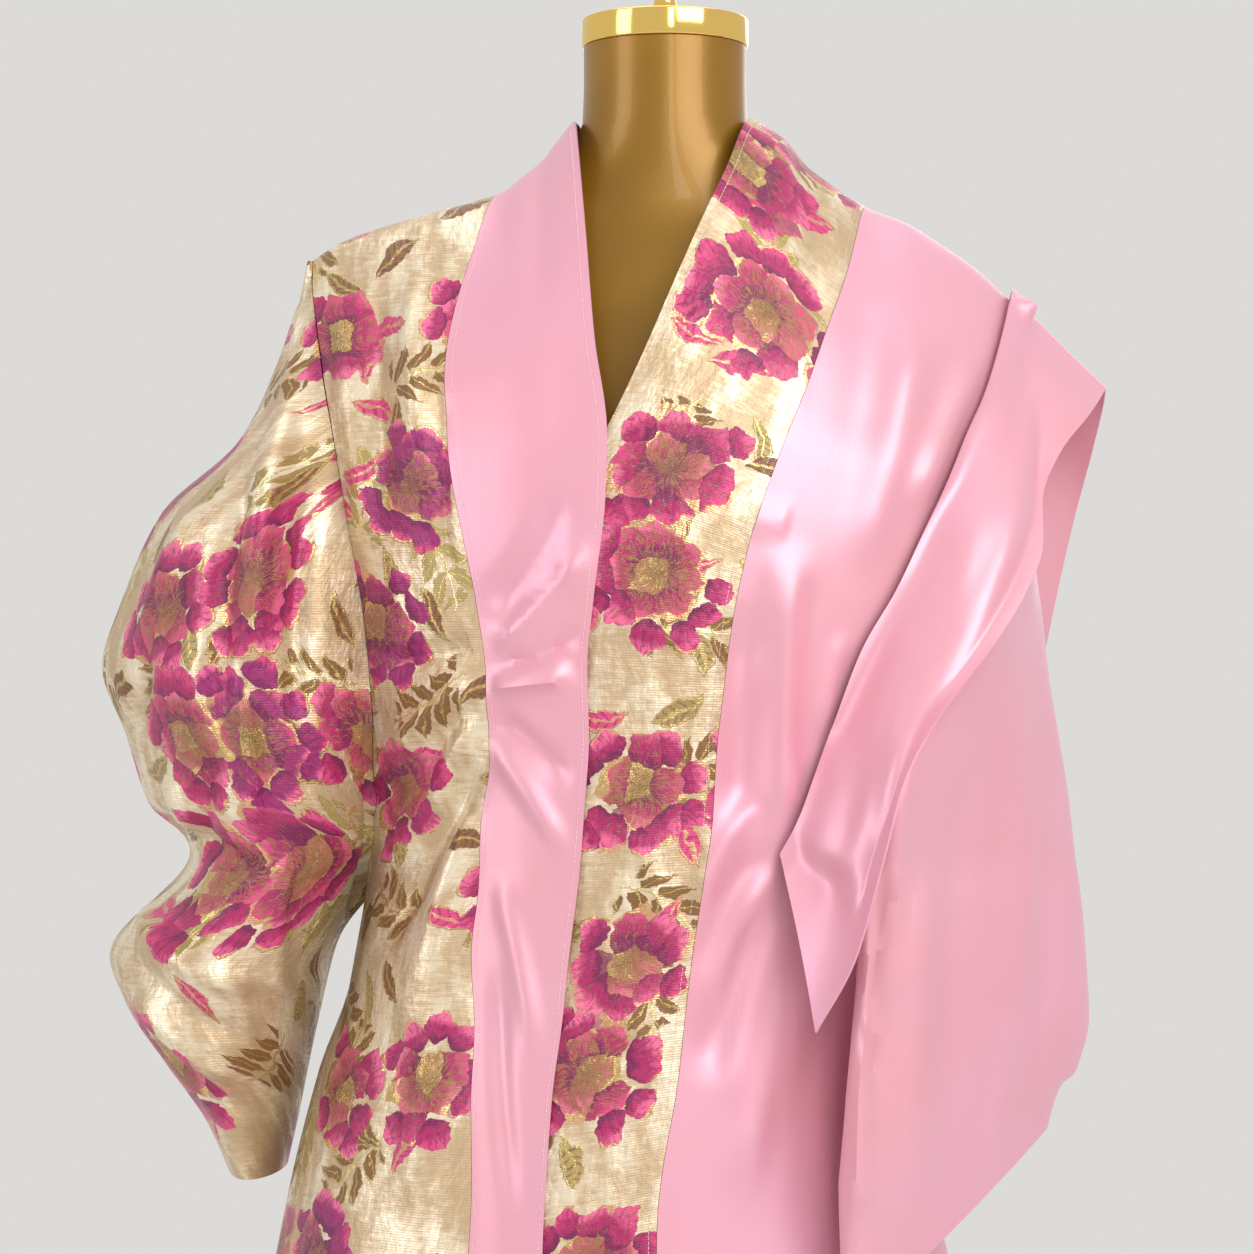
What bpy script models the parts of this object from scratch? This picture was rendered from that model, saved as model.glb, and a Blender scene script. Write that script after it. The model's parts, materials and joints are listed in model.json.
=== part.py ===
"""A floor-length robe dress, half floral brocade and half satin, worn by a limbless dress form on a pole stand.

Every cloth piece is a thin wall. The body pieces and the two front bands lie on one draped surface, the drape,
so their seams meet. The sleeves and the shoulder flap start from the armhole edges of the body pieces.
Metres. +X is the wearer's left, -Y is the front, +Z is up, and the floor is at Z = 0.
"""

import math

import bpy
import numpy as np
from mathutils import Vector
from mathutils.bvhtree import BVHTree

# Cloth
CLOTH = 0.0016
SEAM_GAP = 0.0003
OVERLAP_LIFT = 0.0034
FLAP_LIFT = 0.0048
SEAM_RIDE = 1.6
SLEEVE_CLEARANCE = 0.010
FLAP_CLEARANCE = 0.0058

# The dress's height on the form
NECK_TOP = 1.460
HEM = 0.075
RIDGE_FADE = 0.36
CROWN = 0.9

# The form and its stand
NECK_RADIUS = 0.0545
CAP_RADIUS = 0.0550
CAP_BOTTOM = 1.5133
CAP_HEIGHT = 0.018
FORM_BOTTOM = 0.757
POLE_RADIUS = 0.0125
BASE_RADIUS = 0.180
BASE_HEIGHT = 0.026
FIT_GAP = 0.0003

# Facets
ROWS_PER_STATION = 2
BAND_COLUMNS = 4
FRONT_COLUMNS = 10
NECK_COLUMNS = 5
BACK_COLUMNS = 10
QUARTER_COLUMNS = 6
FLAP_ROWS_PER_STATION = 2
FLAP_COLUMNS = 5
FORM_SEGMENTS = 32

# The drape: below the shoulder line, how wide and deep the worn cloth stands, by its drop in metres.
DRAPE = {
    "columns": ("drop", "centre", "half_width", "front", "back"),
    "rows": (
        (0.000, 0.000, 0.250, 0.000, 0.000),
        (0.0025, 0.000, 0.250, 0.0175, 0.0175),
        (0.010, 0.000, 0.250, 0.035, 0.035),
        (0.0225, 0.000, 0.250, 0.052, 0.051),
        (0.040, 0.000, 0.249, 0.069, 0.066),
        (0.070, 0.000, 0.248, 0.090, 0.080),
        (0.110, 0.000, 0.246, 0.112, 0.093),
        (0.160, 0.000, 0.241, 0.132, 0.103),
        (0.220, 0.000, 0.234, 0.148, 0.109),
        (0.290, 0.000, 0.224, 0.154, 0.109),
        (0.360, -0.002, 0.213, 0.152, 0.105),
        (0.430, -0.006, 0.198, 0.150, 0.103),
        (0.500, -0.012, 0.184, 0.151, 0.108),
        (0.560, -0.022, 0.184, 0.153, 0.117),
        (0.620, -0.031, 0.196, 0.157, 0.128),
        (0.700, -0.036, 0.211, 0.163, 0.142),
        (0.740, -0.035, 0.220, 0.167, 0.150),
        (0.900, -0.033, 0.252, 0.182, 0.170),
        (1.100, -0.030, 0.292, 0.200, 0.194),
        (1.385, -0.025, 0.340, 0.222, 0.222),
    ),
}

# The shoulder line seen from the front. Near the middle it only carries the collar round the neck.
SHOULDER_LINE = {
    "columns": ("x", "z"),
    "rows": (
        (-0.260, 1.352),
        (-0.232, 1.372),
        (-0.211, 1.385),
        (-0.155, 1.403),
        (-0.109, 1.416),
        (-0.089, 1.4275),
        (-0.079, 1.4345),
        (-0.069, 1.447),
        (-0.057, 1.462),
        (-0.045, 1.474),
        (-0.025, 1.488),
        (0.000, 1.495),
        (0.025, 1.488),
        (0.045, 1.476),
        (0.057, 1.466),
        (0.068, 1.459),
        (0.078, 1.452),
        (0.092, 1.435),
        (0.109, 1.422),
        (0.1335, 1.4065),
        (0.158, 1.397),
        (0.181, 1.383),
        (0.205, 1.3665),
        (0.228, 1.345),
        (0.260, 1.318),
    ),
}

# Each front from shoulder to hem: the band's free edge, the seam of band and front, and the front's outer
# edge, which is the armhole and then the side seam. At the side seam no x is given.
SIDE = None
RIGHT_FRONT = {
    "columns": ("edge_x", "edge_z", "seam_x", "seam_z", "outer_x", "outer_z"),
    "rows": (
        (-0.0570, 1.4605, -0.109, 1.416, -0.232, 1.372),
        (-0.0530, 1.4200, -0.121, 1.382, -0.229, 1.345),
        (-0.0490, 1.3700, -0.134, 1.333, -0.222, 1.305),
        (-0.0445, 1.3110, -0.139, 1.281, -0.214, 1.262),
        (-0.0370, 1.2540, -0.137, 1.242, -0.206, 1.218),
        (-0.0380, 1.2090, -0.128, 1.192, -0.198, 1.173),
        (-0.0450, 1.1500, -0.118, 1.143, -0.191, 1.128),
        (-0.0490, 1.1050, -0.112, 1.098, -0.187, 1.083),
        (-0.0480, 1.0600, -0.110, 1.054, -0.186, 1.038),
        (-0.0510, 1.0150, -0.116, 1.005, -0.188, 0.993),
        (-0.0570, 0.9520, -0.120, 0.944, SIDE, 0.950),
        (-0.0690, 0.8550, -0.121, 0.850, SIDE, 0.855),
        (-0.0760, 0.7570, -0.122, 0.753, SIDE, 0.752),
        (-0.0830, 0.6000, -0.133, 0.600, SIDE, 0.597),
        (-0.0900, 0.4200, -0.143, 0.420, SIDE, 0.418),
        (-0.0960, 0.2400, -0.153, 0.240, SIDE, 0.239),
        (-0.1000, HEM, -0.160, HEM, SIDE, HEM),
    ),
    "underarm_row": 10,
}
LEFT_FRONT = {
    "columns": RIGHT_FRONT["columns"],
    "rows": (
        (0.0575, 1.4640, 0.1335, 1.4065, 0.230, 1.3433),
        (0.0400, 1.4280, 0.1165, 1.3620, 0.216, 1.302),
        (0.0190, 1.3810, 0.1000, 1.3170, 0.194, 1.253),
        (-0.0060, 1.3220, 0.0840, 1.2740, 0.179, 1.220),
        (-0.0340, 1.2605, 0.0670, 1.2320, 0.162, 1.183),
        (-0.0620, 1.2090, 0.0500, 1.1820, 0.146, 1.150),
        (-0.0720, 1.1500, 0.0410, 1.1400, 0.127, 1.114),
        (-0.0760, 1.1050, 0.0360, 1.1000, 0.110, 1.073),
        (-0.0750, 1.0600, 0.0310, 1.0600, 0.096, 1.035),
        (-0.0765, 1.0300, 0.0290, 1.0300, 0.082, 1.000),
        (-0.0790, 1.0000, 0.0270, 1.0050, 0.104, 0.984),
        (-0.0820, 0.9700, 0.0220, 0.9750, 0.136, 0.966),
        (-0.0850, 0.9350, 0.0178, 0.9450, SIDE, 0.945),
        (-0.0960, 0.8550, 0.0080, 0.8650, SIDE, 0.865),
        (-0.1030, 0.7570, -0.0060, 0.7750, SIDE, 0.775),
        (-0.1100, 0.6000, -0.0080, 0.6000, SIDE, 0.600),
        (-0.1180, 0.4200, -0.0090, 0.4200, SIDE, 0.420),
        (-0.1240, 0.2400, -0.0100, 0.2400, SIDE, 0.241),
        (-0.1280, HEM, -0.0100, HEM, SIDE, HEM),
    ),
    "underarm_row": 12,
}

# The collar round the back of the neck, from the shoulder line to the middle of the back.
COLLAR = {
    "columns": ("edge_x", "edge_z", "seam_x", "seam_z"),
    "rows": (
        (0.0560, 1.4625, 0.126, 1.4060),
        (0.0520, 1.4600, 0.112, 1.4060),
        (0.0420, 1.4605, 0.085, 1.4050),
        (0.0240, 1.4615, 0.046, 1.4070),
        (0.0000, 1.4620, 0.000, 1.4090),
    ),
}

# Each back from the shoulder to the hem: the height on the centre seam, and the outer edge.
RIGHT_BACK = {
    "columns": ("centre_z", "outer_x", "outer_z"),
    "rows": (
        (1.409, -0.232, 1.372),
        (1.370, -0.226, 1.330),
        (1.310, -0.212, 1.265),
        (1.240, -0.199, 1.195),
        (1.165, -0.190, 1.120),
        (1.085, -0.187, 1.035),
        (1.000, SIDE, 0.950),
        (0.910, SIDE, 0.875),
        (0.820, SIDE, 0.795),
        (0.720, SIDE, 0.705),
        (0.590, SIDE, 0.580),
        (0.420, SIDE, 0.416),
        (0.245, SIDE, 0.244),
        (HEM, SIDE, HEM),
    ),
    "underarm_row": 6,
}
LEFT_BACK = {
    "columns": RIGHT_BACK["columns"],
    "rows": (
        (1.409, 0.230, 1.3433),
        (1.370, 0.223, 1.300),
        (1.310, 0.214, 1.240),
        (1.240, 0.206, 1.175),
        (1.165, 0.196, 1.105),
        (1.085, 0.182, 1.030),
        (1.000, SIDE, 0.945),
        (0.910, SIDE, 0.870),
        (0.820, SIDE, 0.790),
        (0.720, SIDE, 0.705),
        (0.590, SIDE, 0.580),
        (0.420, SIDE, 0.416),
        (0.245, SIDE, 0.244),
        (HEM, SIDE, HEM),
    ),
    "underarm_row": 6,
}

# The sleeves, level by level: where each passes nearest the body, in front, outermost and behind, and how much
# the level rises towards the outside. Above the underarm, a level starts and ends at the armhole instead.
SLEEVE_COLUMNS = (
    "z",
    "in_x",
    "in_y",
    "front_x",
    "front_y",
    "out_x",
    "out_y",
    "back_x",
    "back_y",
    "rise",
)
RIGHT_SLEEVE = {
    "columns": SLEEVE_COLUMNS,
    "rows": (
        (1.345, -0.209, 0.004, -0.237, -0.016, -0.241, 0.000, -0.237, 0.014, 0.0),
        (1.300, -0.209, 0.004, -0.246, -0.038, -0.257, 0.000, -0.245, 0.034, 0.0),
        (1.254, -0.209, 0.004, -0.255, -0.072, -0.279, 0.000, -0.254, 0.060, 0.0),
        (1.205, -0.209, 0.004, -0.260, -0.112, -0.331, 0.000, -0.258, 0.092, 0.0),
        (1.145, -0.209, 0.004, -0.270, -0.120, -0.358, 0.000, -0.268, 0.098, 0.0),
        (1.105, -0.209, 0.004, -0.274, -0.121, -0.370, 0.002, -0.273, 0.100, 0.0),
        (1.062, -0.209, 0.004, -0.272, -0.117, -0.355, 0.004, -0.271, 0.099, 0.0),
        (1.012, -0.209, 0.004, -0.266, -0.107, -0.338, 0.006, -0.265, 0.095, 0.0),
        (0.982, -0.209, 0.004, -0.259, -0.096, -0.302, 0.010, -0.259, 0.090, 0.0),
        (0.949, -0.209, 0.006, -0.268, -0.095, -0.341, 0.014, -0.268, 0.098, 0.0),
        (0.920, -0.219, 0.014, -0.285, -0.094, -0.368, 0.016, -0.285, 0.104, 0.0),
        (0.884, -0.228, 0.018, -0.291, -0.086, -0.357, 0.018, -0.291, 0.102, 0.0),
        (0.844, -0.237, 0.022, -0.287, -0.070, -0.331, 0.022, -0.287, 0.094, 0.0),
        (0.806, -0.245, 0.028, -0.277, -0.048, -0.305, 0.027, -0.277, 0.086, 0.0),
        (0.772, -0.253, 0.032, -0.272, -0.034, -0.290, 0.032, -0.272, 0.084, 0.0),
    ),
}
LEFT_SLEEVE = {
    "columns": SLEEVE_COLUMNS,
    "rows": (
        (1.320, 0.182, -0.006, 0.2325, -0.016, 0.2345, 0.000, 0.2325, 0.014, 0.0),
        (1.300, 0.182, -0.006, 0.232, -0.028, 0.236, 0.000, 0.233, 0.022, 0.0),
        (1.260, 0.182, -0.006, 0.227, -0.058, 0.237, -0.001, 0.232, 0.036, 0.0),
        (1.220, 0.182, -0.006, 0.218, -0.094, 0.239, -0.003, 0.231, 0.048, 0.0),
        (1.180, 0.182, -0.006, 0.204, -0.125, 0.242, -0.006, 0.230, 0.060, 0.0),
        (1.140, 0.182, -0.006, 0.188, -0.143, 0.247, -0.010, 0.230, 0.060, 0.0),
        (1.100, 0.182, -0.006, 0.170, -0.159, 0.251, -0.014, 0.229, 0.058, 0.0),
        (1.060, 0.182, -0.006, 0.153, -0.170, 0.257, -0.018, 0.228, 0.055, 0.0),
        (1.020, 0.182, -0.006, 0.138, -0.176, 0.263, -0.022, 0.226, 0.050, 0.0),
        (0.980, 0.182, -0.006, 0.127, -0.178, 0.267, -0.026, 0.224, 0.044, 0.0),
        (0.950, 0.180, -0.006, 0.123, -0.179, 0.271, -0.029, 0.222, 0.038, 0.0),
        (0.920, 0.186, -0.015, 0.120, -0.180, 0.273, -0.032, 0.222, 0.030, 0.0),
        (0.880, 0.188, -0.035, 0.116, -0.180, 0.2745, -0.036, 0.224, 0.016, 0.0),
        (0.840, 0.178, -0.062, 0.113, -0.179, 0.267, -0.040, 0.222, 0.001, 0.05),
        (0.800, 0.161, -0.092, 0.112, -0.177, 0.256, -0.044, 0.213, -0.016, 0.25),
        (0.765, 0.152, -0.110, 0.111, -0.174, 0.252, -0.046, 0.206, -0.026, 0.45),
        (0.735, 0.147, -0.120, 0.111, -0.172, 0.249, -0.048, 0.201, -0.031, 0.62),
        (0.705, 0.143, -0.125, 0.112, -0.170, 0.246, -0.049, 0.197, -0.035, 0.78),
    ),
}

# The flap stitched over the left shoulder and sleeve: its seam on the front or the back, and its hanging edge.
FLAP = {
    "columns": ("side", "seam_x", "seam_z", "hem_x", "hem_y", "hem_z", "swell", "faces"),
    "rows": (
        (-1, 0.068, 0.991, 0.089, -0.192, 0.886, 0.002, -90),
        (-1, 0.078, 1.012, 0.112, -0.200, 0.930, 0.008, -90),
        (-1, 0.088, 1.036, 0.129, -0.203, 0.990, 0.012, -90),
        (-1, 0.101, 1.072, 0.143, -0.199, 1.040, 0.012, -89),
        (-1, 0.119, 1.118, 0.163, -0.188, 1.075, 0.012, -87),
        (-1, 0.140, 1.154, 0.182, -0.174, 1.098, 0.012, -84),
        (-1, 0.155, 1.185, 0.204, -0.158, 1.125, 0.012, -79),
        (-1, 0.172, 1.222, 0.224, -0.134, 1.155, 0.012, -70),
        (-1, 0.185, 1.250, 0.236, -0.110, 1.182, 0.010, -58),
        (-1, 0.197, 1.274, 0.239, -0.084, 1.213, 0.008, -45),
        (-1, 0.208, 1.302, 0.253, -0.062, 1.243, 0.005, -32),
        (-1, 0.217, 1.330, 0.275, -0.030, 1.268, 0.003, -18),
        (-1, 0.221, 1.3435, 0.286, -0.006, 1.281, 0.002, -8),
        (-1, 0.223, 1.3494, 0.292, 0.008, 1.289, 0.001, 0),
        (1, 0.223, 1.3430, 0.293, 0.024, 1.280, 0.002, 8),
        (1, 0.218, 1.3250, 0.289, 0.050, 1.250, 0.003, 22),
        (1, 0.210, 1.290, 0.280, 0.082, 1.202, 0.006, 38),
        (1, 0.201, 1.240, 0.268, 0.108, 1.135, 0.010, 54),
        (1, 0.192, 1.175, 0.255, 0.122, 1.062, 0.012, 68),
        (1, 0.182, 1.100, 0.241, 0.128, 0.990, 0.010, 78),
        (1, 0.168, 1.030, 0.226, 0.128, 0.928, 0.006, 84),
    ),
}

# The largest folds of the body, each a soft ridge, or a trough where its height is below zero.
BODY_FOLDS = {
    "columns": ("side", "from_x", "from_z", "to_x", "to_z", "half_width", "height"),
    "rows": (
        (-1, 0.078, 1.190, 0.070, 0.985, 0.012, 0.008),
        (-1, 0.050, 1.150, 0.044, 1.000, 0.014, -0.007),
        (-1, 0.160, 1.330, 0.118, 1.160, 0.014, 0.005),
        (-1, 0.200, 1.310, 0.150, 1.200, 0.009, 0.004),
        (-1, 0.060, 0.960, 0.020, 0.850, 0.013, -0.006),
        (-1, 0.085, 0.930, 0.045, 0.780, 0.014, 0.006),
        (-1, -0.115, 1.110, -0.176, 1.020, 0.020, 0.007),
        (-1, -0.118, 1.060, -0.180, 0.940, 0.018, -0.007),
        (-1, -0.130, 1.020, -0.175, 0.860, 0.020, 0.006),
        (-1, -0.150, 1.350, -0.165, 1.180, 0.018, 0.005),
        (-1, -0.112, 1.135, -0.056, 1.165, 0.013, -0.005),
        (-1, -0.112, 1.100, -0.056, 1.110, 0.013, 0.005),
        (1, -0.120, 1.330, -0.060, 1.120, 0.020, -0.006),
        (1, 0.120, 1.320, 0.060, 1.120, 0.020, -0.006),
    ),
}

# The skirt's flutes: how many go round, where each set starts, and its share of the depth.
FLUTES = {
    "columns": ("count", "turn", "share"),
    "rows": ((8, 0.4, 0.6), (11, 2.0, 0.4)),
}
FLUTE_TOP = 0.68
FLUTE_DEPTH = 0.020

# The form: half its width, and how far it reaches to the front and the back.
FORM = {
    "columns": ("z", "half_width", "front", "back"),
    "rows": (
        (0.757, 0.110, 0.078, 0.074),
        (0.775, 0.138, 0.096, 0.090),
        (0.820, 0.147, 0.102, 0.098),
        (0.880, 0.149, 0.106, 0.100),
        (0.940, 0.147, 0.104, 0.094),
        (1.000, 0.140, 0.099, 0.083),
        (1.060, 0.137, 0.101, 0.077),
        (1.120, 0.153, 0.115, 0.080),
        (1.190, 0.173, 0.129, 0.084),
        (1.250, 0.185, 0.117, 0.084),
        (1.310, 0.190, 0.096, 0.079),
        (1.345, 0.186, 0.080, 0.073),
        (1.373, 0.172, 0.067, 0.065),
        (1.390, 0.150, 0.060, 0.061),
        (1.402, 0.126, 0.056, 0.059),
        (1.412, 0.104, 0.055, 0.058),
        (1.424, 0.084, 0.055, 0.058),
        (1.434, 0.072, 0.055, 0.058),
        (1.446, 0.061, 0.055, 0.057),
        (1.462, NECK_RADIUS, 0.0545, 0.0555),
        (1.485, NECK_RADIUS - 0.001, 0.0535, 0.0540),
        (1.513, NECK_RADIUS - 0.001, 0.0530, 0.0535),
    ),
}

# The knob above the neck cap, as a turned outline from the bottom up.
KNOB = {
    "columns": ("radius", "height"),
    "rows": (
        (0.0145, 0.000),
        (0.0145, 0.004),
        (0.0085, 0.008),
        (0.0070, 0.014),
        (0.0105, 0.019),
        (0.0150, 0.026),
        (0.0160, 0.032),
        (0.0140, 0.039),
        (0.0080, 0.044),
        (0.0020, 0.046),
    ),
}

COLOURS = {
    "brocade": (0.74, 0.58, 0.42, 0.45, 0.2),
    "satin": (0.90, 0.60, 0.72, 0.30, 0.0),
    "form": (0.36, 0.19, 0.06, 0.35, 0.3),
    "gold": (0.83, 0.66, 0.18, 0.12, 1.0),
}


# Tables and smooth curves
def table(source):
    """Each column of a table, by name, with the side seam's missing x as NaN."""
    rows = np.array(source["rows"], dtype=float)
    return {name: rows[:, i] for i, name in enumerate(source["columns"])}


def smooth(at, xs, ys):
    """A cubic through the points that doesn't overshoot between them."""
    xs, ys = np.asarray(xs, float), np.asarray(ys, float)
    steps = np.diff(xs)
    slopes = np.diff(ys) / steps
    tangents = np.zeros(len(xs))
    tangents[0], tangents[-1] = slopes[0], slopes[-1]
    same_way = slopes[:-1] * slopes[1:] > 0
    with np.errstate(divide="ignore", invalid="ignore"):
        harmonic = 2 * slopes[:-1] * slopes[1:] / (slopes[:-1] + slopes[1:])
    tangents[1:-1] = np.where(same_way, harmonic, 0.0)
    at = np.clip(at, xs[0], xs[-1])
    i = np.clip(np.searchsorted(xs, at, side="right") - 1, 0, len(steps) - 1)
    t = (at - xs[i]) / steps[i]
    return (
        (2 * t**3 - 3 * t**2 + 1) * ys[i]
        + (t**3 - 2 * t**2 + t) * steps[i] * tangents[i]
        + (3 * t**2 - 2 * t**3) * ys[i + 1]
        + (t**3 - t**2) * steps[i] * tangents[i + 1]
    )


def fade(t):
    """0 below 0, 1 above 1, and soft between."""
    t = np.clip(t, 0.0, 1.0)
    return t * t * (3 - 2 * t)


def normalised(v):
    return v / np.linalg.norm(v, axis=-1, keepdims=True)


# The drape
DRAPE_TABLE = table(DRAPE)
DRAPE_STEPS = np.sqrt(DRAPE_TABLE["drop"])
SHOULDERS = table(SHOULDER_LINE)


def drape_size(column, drop):
    """One size of the drape. Its rows are read by the root of the drop, so that the shoulders come out round."""
    return smooth(np.sqrt(np.maximum(drop, 0.0)), DRAPE_STEPS, DRAPE_TABLE[column])


def height_of(x, drop):
    """High up, the drape follows the shoulder line. Further down, its rows are level."""
    share = 1 - fade(np.asarray(drop) / RIDGE_FADE)
    return share * smooth(x, SHOULDERS["x"], SHOULDERS["z"]) + (1 - share) * NECK_TOP - drop


def plain_drape(angle, drop):
    """The point of the drape, with no folds, at an angle from the front towards the wearer's left."""
    x = drape_size("centre", drop) + drape_size("half_width", drop) * np.sin(angle)
    facing = np.cos(angle)
    depth = np.where(facing > 0, drape_size("front", drop), drape_size("back", drop))
    y = -np.sign(facing) * depth * np.abs(facing) ** CROWN
    return np.stack([x, y, height_of(x, drop)], axis=-1)


def place(x, z, front):
    """The angle and drop of the drape's point that is seen at x and z from the front, or from behind."""
    low, high = 0.0, NECK_TOP - HEM + 0.05
    for _ in range(50):
        middle = (low + high) / 2
        if height_of(x, middle) > z:
            low = middle
        else:
            high = middle
    across = (x - drape_size("centre", low)) / drape_size("half_width", low)
    angle = math.asin(min(0.999, max(-0.999, float(across))))
    if not front:
        angle = math.pi - angle
    return angle, low


def side_place(z, sign):
    """The angle and drop of the side seam's point at height z."""
    return sign * math.pi / 2, NECK_TOP - z


def fold_relief(angle, drop):
    """How far the folds and flutes move the drape out."""
    point = plain_drape(angle, drop)
    relief = np.zeros(np.shape(angle))
    for side, x0, z0, x1, z1, half_width, height in BODY_FOLDS["rows"]:
        along = np.array([x1 - x0, z1 - z0])
        length = np.linalg.norm(along)
        along = along / length
        dx, dz = point[..., 0] - x0, point[..., 2] - z0
        run = (dx * along[0] + dz * along[1]) / length
        off = (dx * along[1] - dz * along[0]) / half_width
        same_side = fade(point[..., 1] * side / 0.03)
        ends = fade(run / 0.25) * fade((1 - run) / 0.25)
        relief = relief + height * np.exp(-(off**2)) * ends * same_side
    wave = sum(
        share * np.cos(count * angle + turn) for count, turn, share in FLUTES["rows"]
    )
    grown = fade((drop - FLUTE_TOP) / (NECK_TOP - HEM - FLUTE_TOP))
    return relief + FLUTE_DEPTH * grown * wave


def plain_normal(angle, drop):
    """The outward direction of the drape with no folds."""
    step = 1e-4
    across = plain_drape(angle + step, drop) - plain_drape(angle - step, drop)
    lower = np.maximum(drop, 2 * step)
    down = plain_drape(angle, lower + step) - plain_drape(angle, lower - step)
    return normalised(np.cross(down, across))


def drape(angle, drop, lift=0.0):
    """The drape's points with folds, moved out by lift."""
    point = plain_drape(angle, drop)
    return point + plain_normal(angle, drop) * (fold_relief(angle, drop) + lift)[..., None]


# Walls
def grid_normals(points, joined_from=None):
    """Outward directions of a grid of points, rows down and columns towards the wearer's left.
    From the joined row down, the last column is the first one again."""
    across = np.gradient(points, axis=1)
    if joined_from is not None:
        around = points[joined_from:, 1] - points[joined_from:, -2]
        across[joined_from:, 0] = around
        across[joined_from:, -1] = around
    down = np.gradient(points, axis=0)
    return normalised(np.cross(down, across))


def make_object(name, vertices, faces, colour, parent):
    used = sorted({index for face in faces for index in face})
    fresh = {old: new for new, old in enumerate(used)}
    mesh = bpy.data.meshes.new(name)
    corners = [[fresh[index] for index in face] for face in faces]
    mesh.from_pydata([tuple(vertices[index]) for index in used], [], corners)
    mesh.validate()
    piece = bpy.data.objects.new(name, mesh)
    bpy.context.scene.collection.objects.link(piece)
    piece.data.materials.append(colour)
    piece.parent = parent
    mesh.shade_smooth()
    mesh.set_sharp_from_angle(angle=math.radians(40))
    return piece


def wall(name, points, normals, colour, parent, joined_from=None):
    """A closed wall of cloth round a grid of points, half its thickness to each side."""
    rows, columns = points.shape[:2]
    joined_from = rows if joined_from is None else joined_from
    outer = points + normals * CLOTH / 2
    inner = points - normals * CLOTH / 2
    vertices = np.concatenate([outer.reshape(-1, 3), inner.reshape(-1, 3)])
    under = rows * columns

    def at(i, j):
        return i * columns + (0 if i >= joined_from and j == columns - 1 else j)

    faces = []
    for i in range(rows - 1):
        for j in range(columns - 1):
            a, b, c, d = at(i, j), at(i, j + 1), at(i + 1, j + 1), at(i + 1, j)
            faces.append((a, d, c, b))
            faces.append((under + a, under + b, under + c, under + d))
        if i < joined_from:
            a, b = at(i, 0), at(i + 1, 0)
            faces.append((a, under + a, under + b, b))
            a, b = at(i, columns - 1), at(i + 1, columns - 1)
            faces.append((a, b, under + b, under + a))
    for j in range(columns - 1):
        a, b = at(0, j), at(0, j + 1)
        faces.append((a, b, under + b, under + a))
        a, b = at(rows - 1, j), at(rows - 1, j + 1)
        faces.append((a, under + a, under + b, b))
    return make_object(name, vertices, faces, colour, parent)


# Edges of the pieces, as angles and drops, one pair for each row
def refined(places, rows_per_station):
    """More rows between the given places. The drop goes by its root, so that the shoulders stay round."""
    stations = np.arange(len(places))
    fine = np.linspace(0, len(places) - 1, (len(places) - 1) * rows_per_station + 1)
    angle = smooth(fine, stations, places[:, 0])
    root = smooth(fine, stations, np.sqrt(places[:, 1]))
    return np.stack([angle, root**2], axis=-1)


def edge_places(source, x_name, z_name, front, rows_per_station):
    """The places along one edge of a table, smooth between its rows."""
    columns = table(source)
    xs = columns[x_name] if x_name else np.full(len(source["rows"]), math.nan)
    sign = 1 if source in (LEFT_FRONT, LEFT_BACK) else -1
    found = [
        side_place(z, sign) if math.isnan(x) else place(x, z, front)
        for x, z in zip(xs, columns[z_name])
    ]
    found = np.array(found)
    if not front:
        found[:, 0] = sign * np.abs(found[:, 0]) if sign > 0 else found[:, 0] - 2 * math.pi * (found[:, 0] > 0)
    return refined(found, rows_per_station)


def across_gap(places, sign):
    """Places moved sideways by half a seam's gap."""
    width = drape_size("half_width", places[:, 1]) * np.maximum(
        np.abs(np.cos(places[:, 0])), 0.35
    )
    moved = places.copy()
    moved[:, 0] += sign * SEAM_GAP / 2 / width
    return moved


def between(first, last, columns):
    """Rows of places, evenly spaced from the first edge to the last."""
    share = np.linspace(0, 1, columns + 1)[None, :, None]
    return first[:, None, :] * (1 - share) + last[:, None, :] * share


def open_shoulder(points, normals, side):
    """The points on the shoulder line held half a gap to the front or the back, with walls square to the seam."""
    on_line = np.abs(points[0, :, 1]) < 2 * SEAM_GAP
    points[0, on_line, 1] = side * SEAM_GAP / 2
    normals[0, on_line, 1] = 0.0
    normals[0] = normalised(normals[0])


def collar_places(sign, seam_x):
    """The collar's two edges behind the neck, from the middle of the back to just behind the shoulder."""
    rows = COLLAR["rows"]
    widen = abs(seam_x) / LEFT_FRONT["rows"][0][2]
    edge, seam = [], []
    for edge_x, z, collar_seam_x, seam_z in reversed(rows):
        edge.append(place(sign * edge_x, z, False))
        seam.append(place(sign * collar_seam_x * widen, seam_z, False))
    edge, seam = np.array(edge), np.array(seam)
    if sign < 0:
        edge[:, 0] -= 2 * math.pi
        seam[:, 0] -= 2 * math.pi
    middle_gap = SEAM_GAP / 2 / DRAPE_TABLE["half_width"][0]
    edge[0, 0] -= sign * middle_gap
    seam[0, 0] -= sign * middle_gap
    return edge, seam


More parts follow.
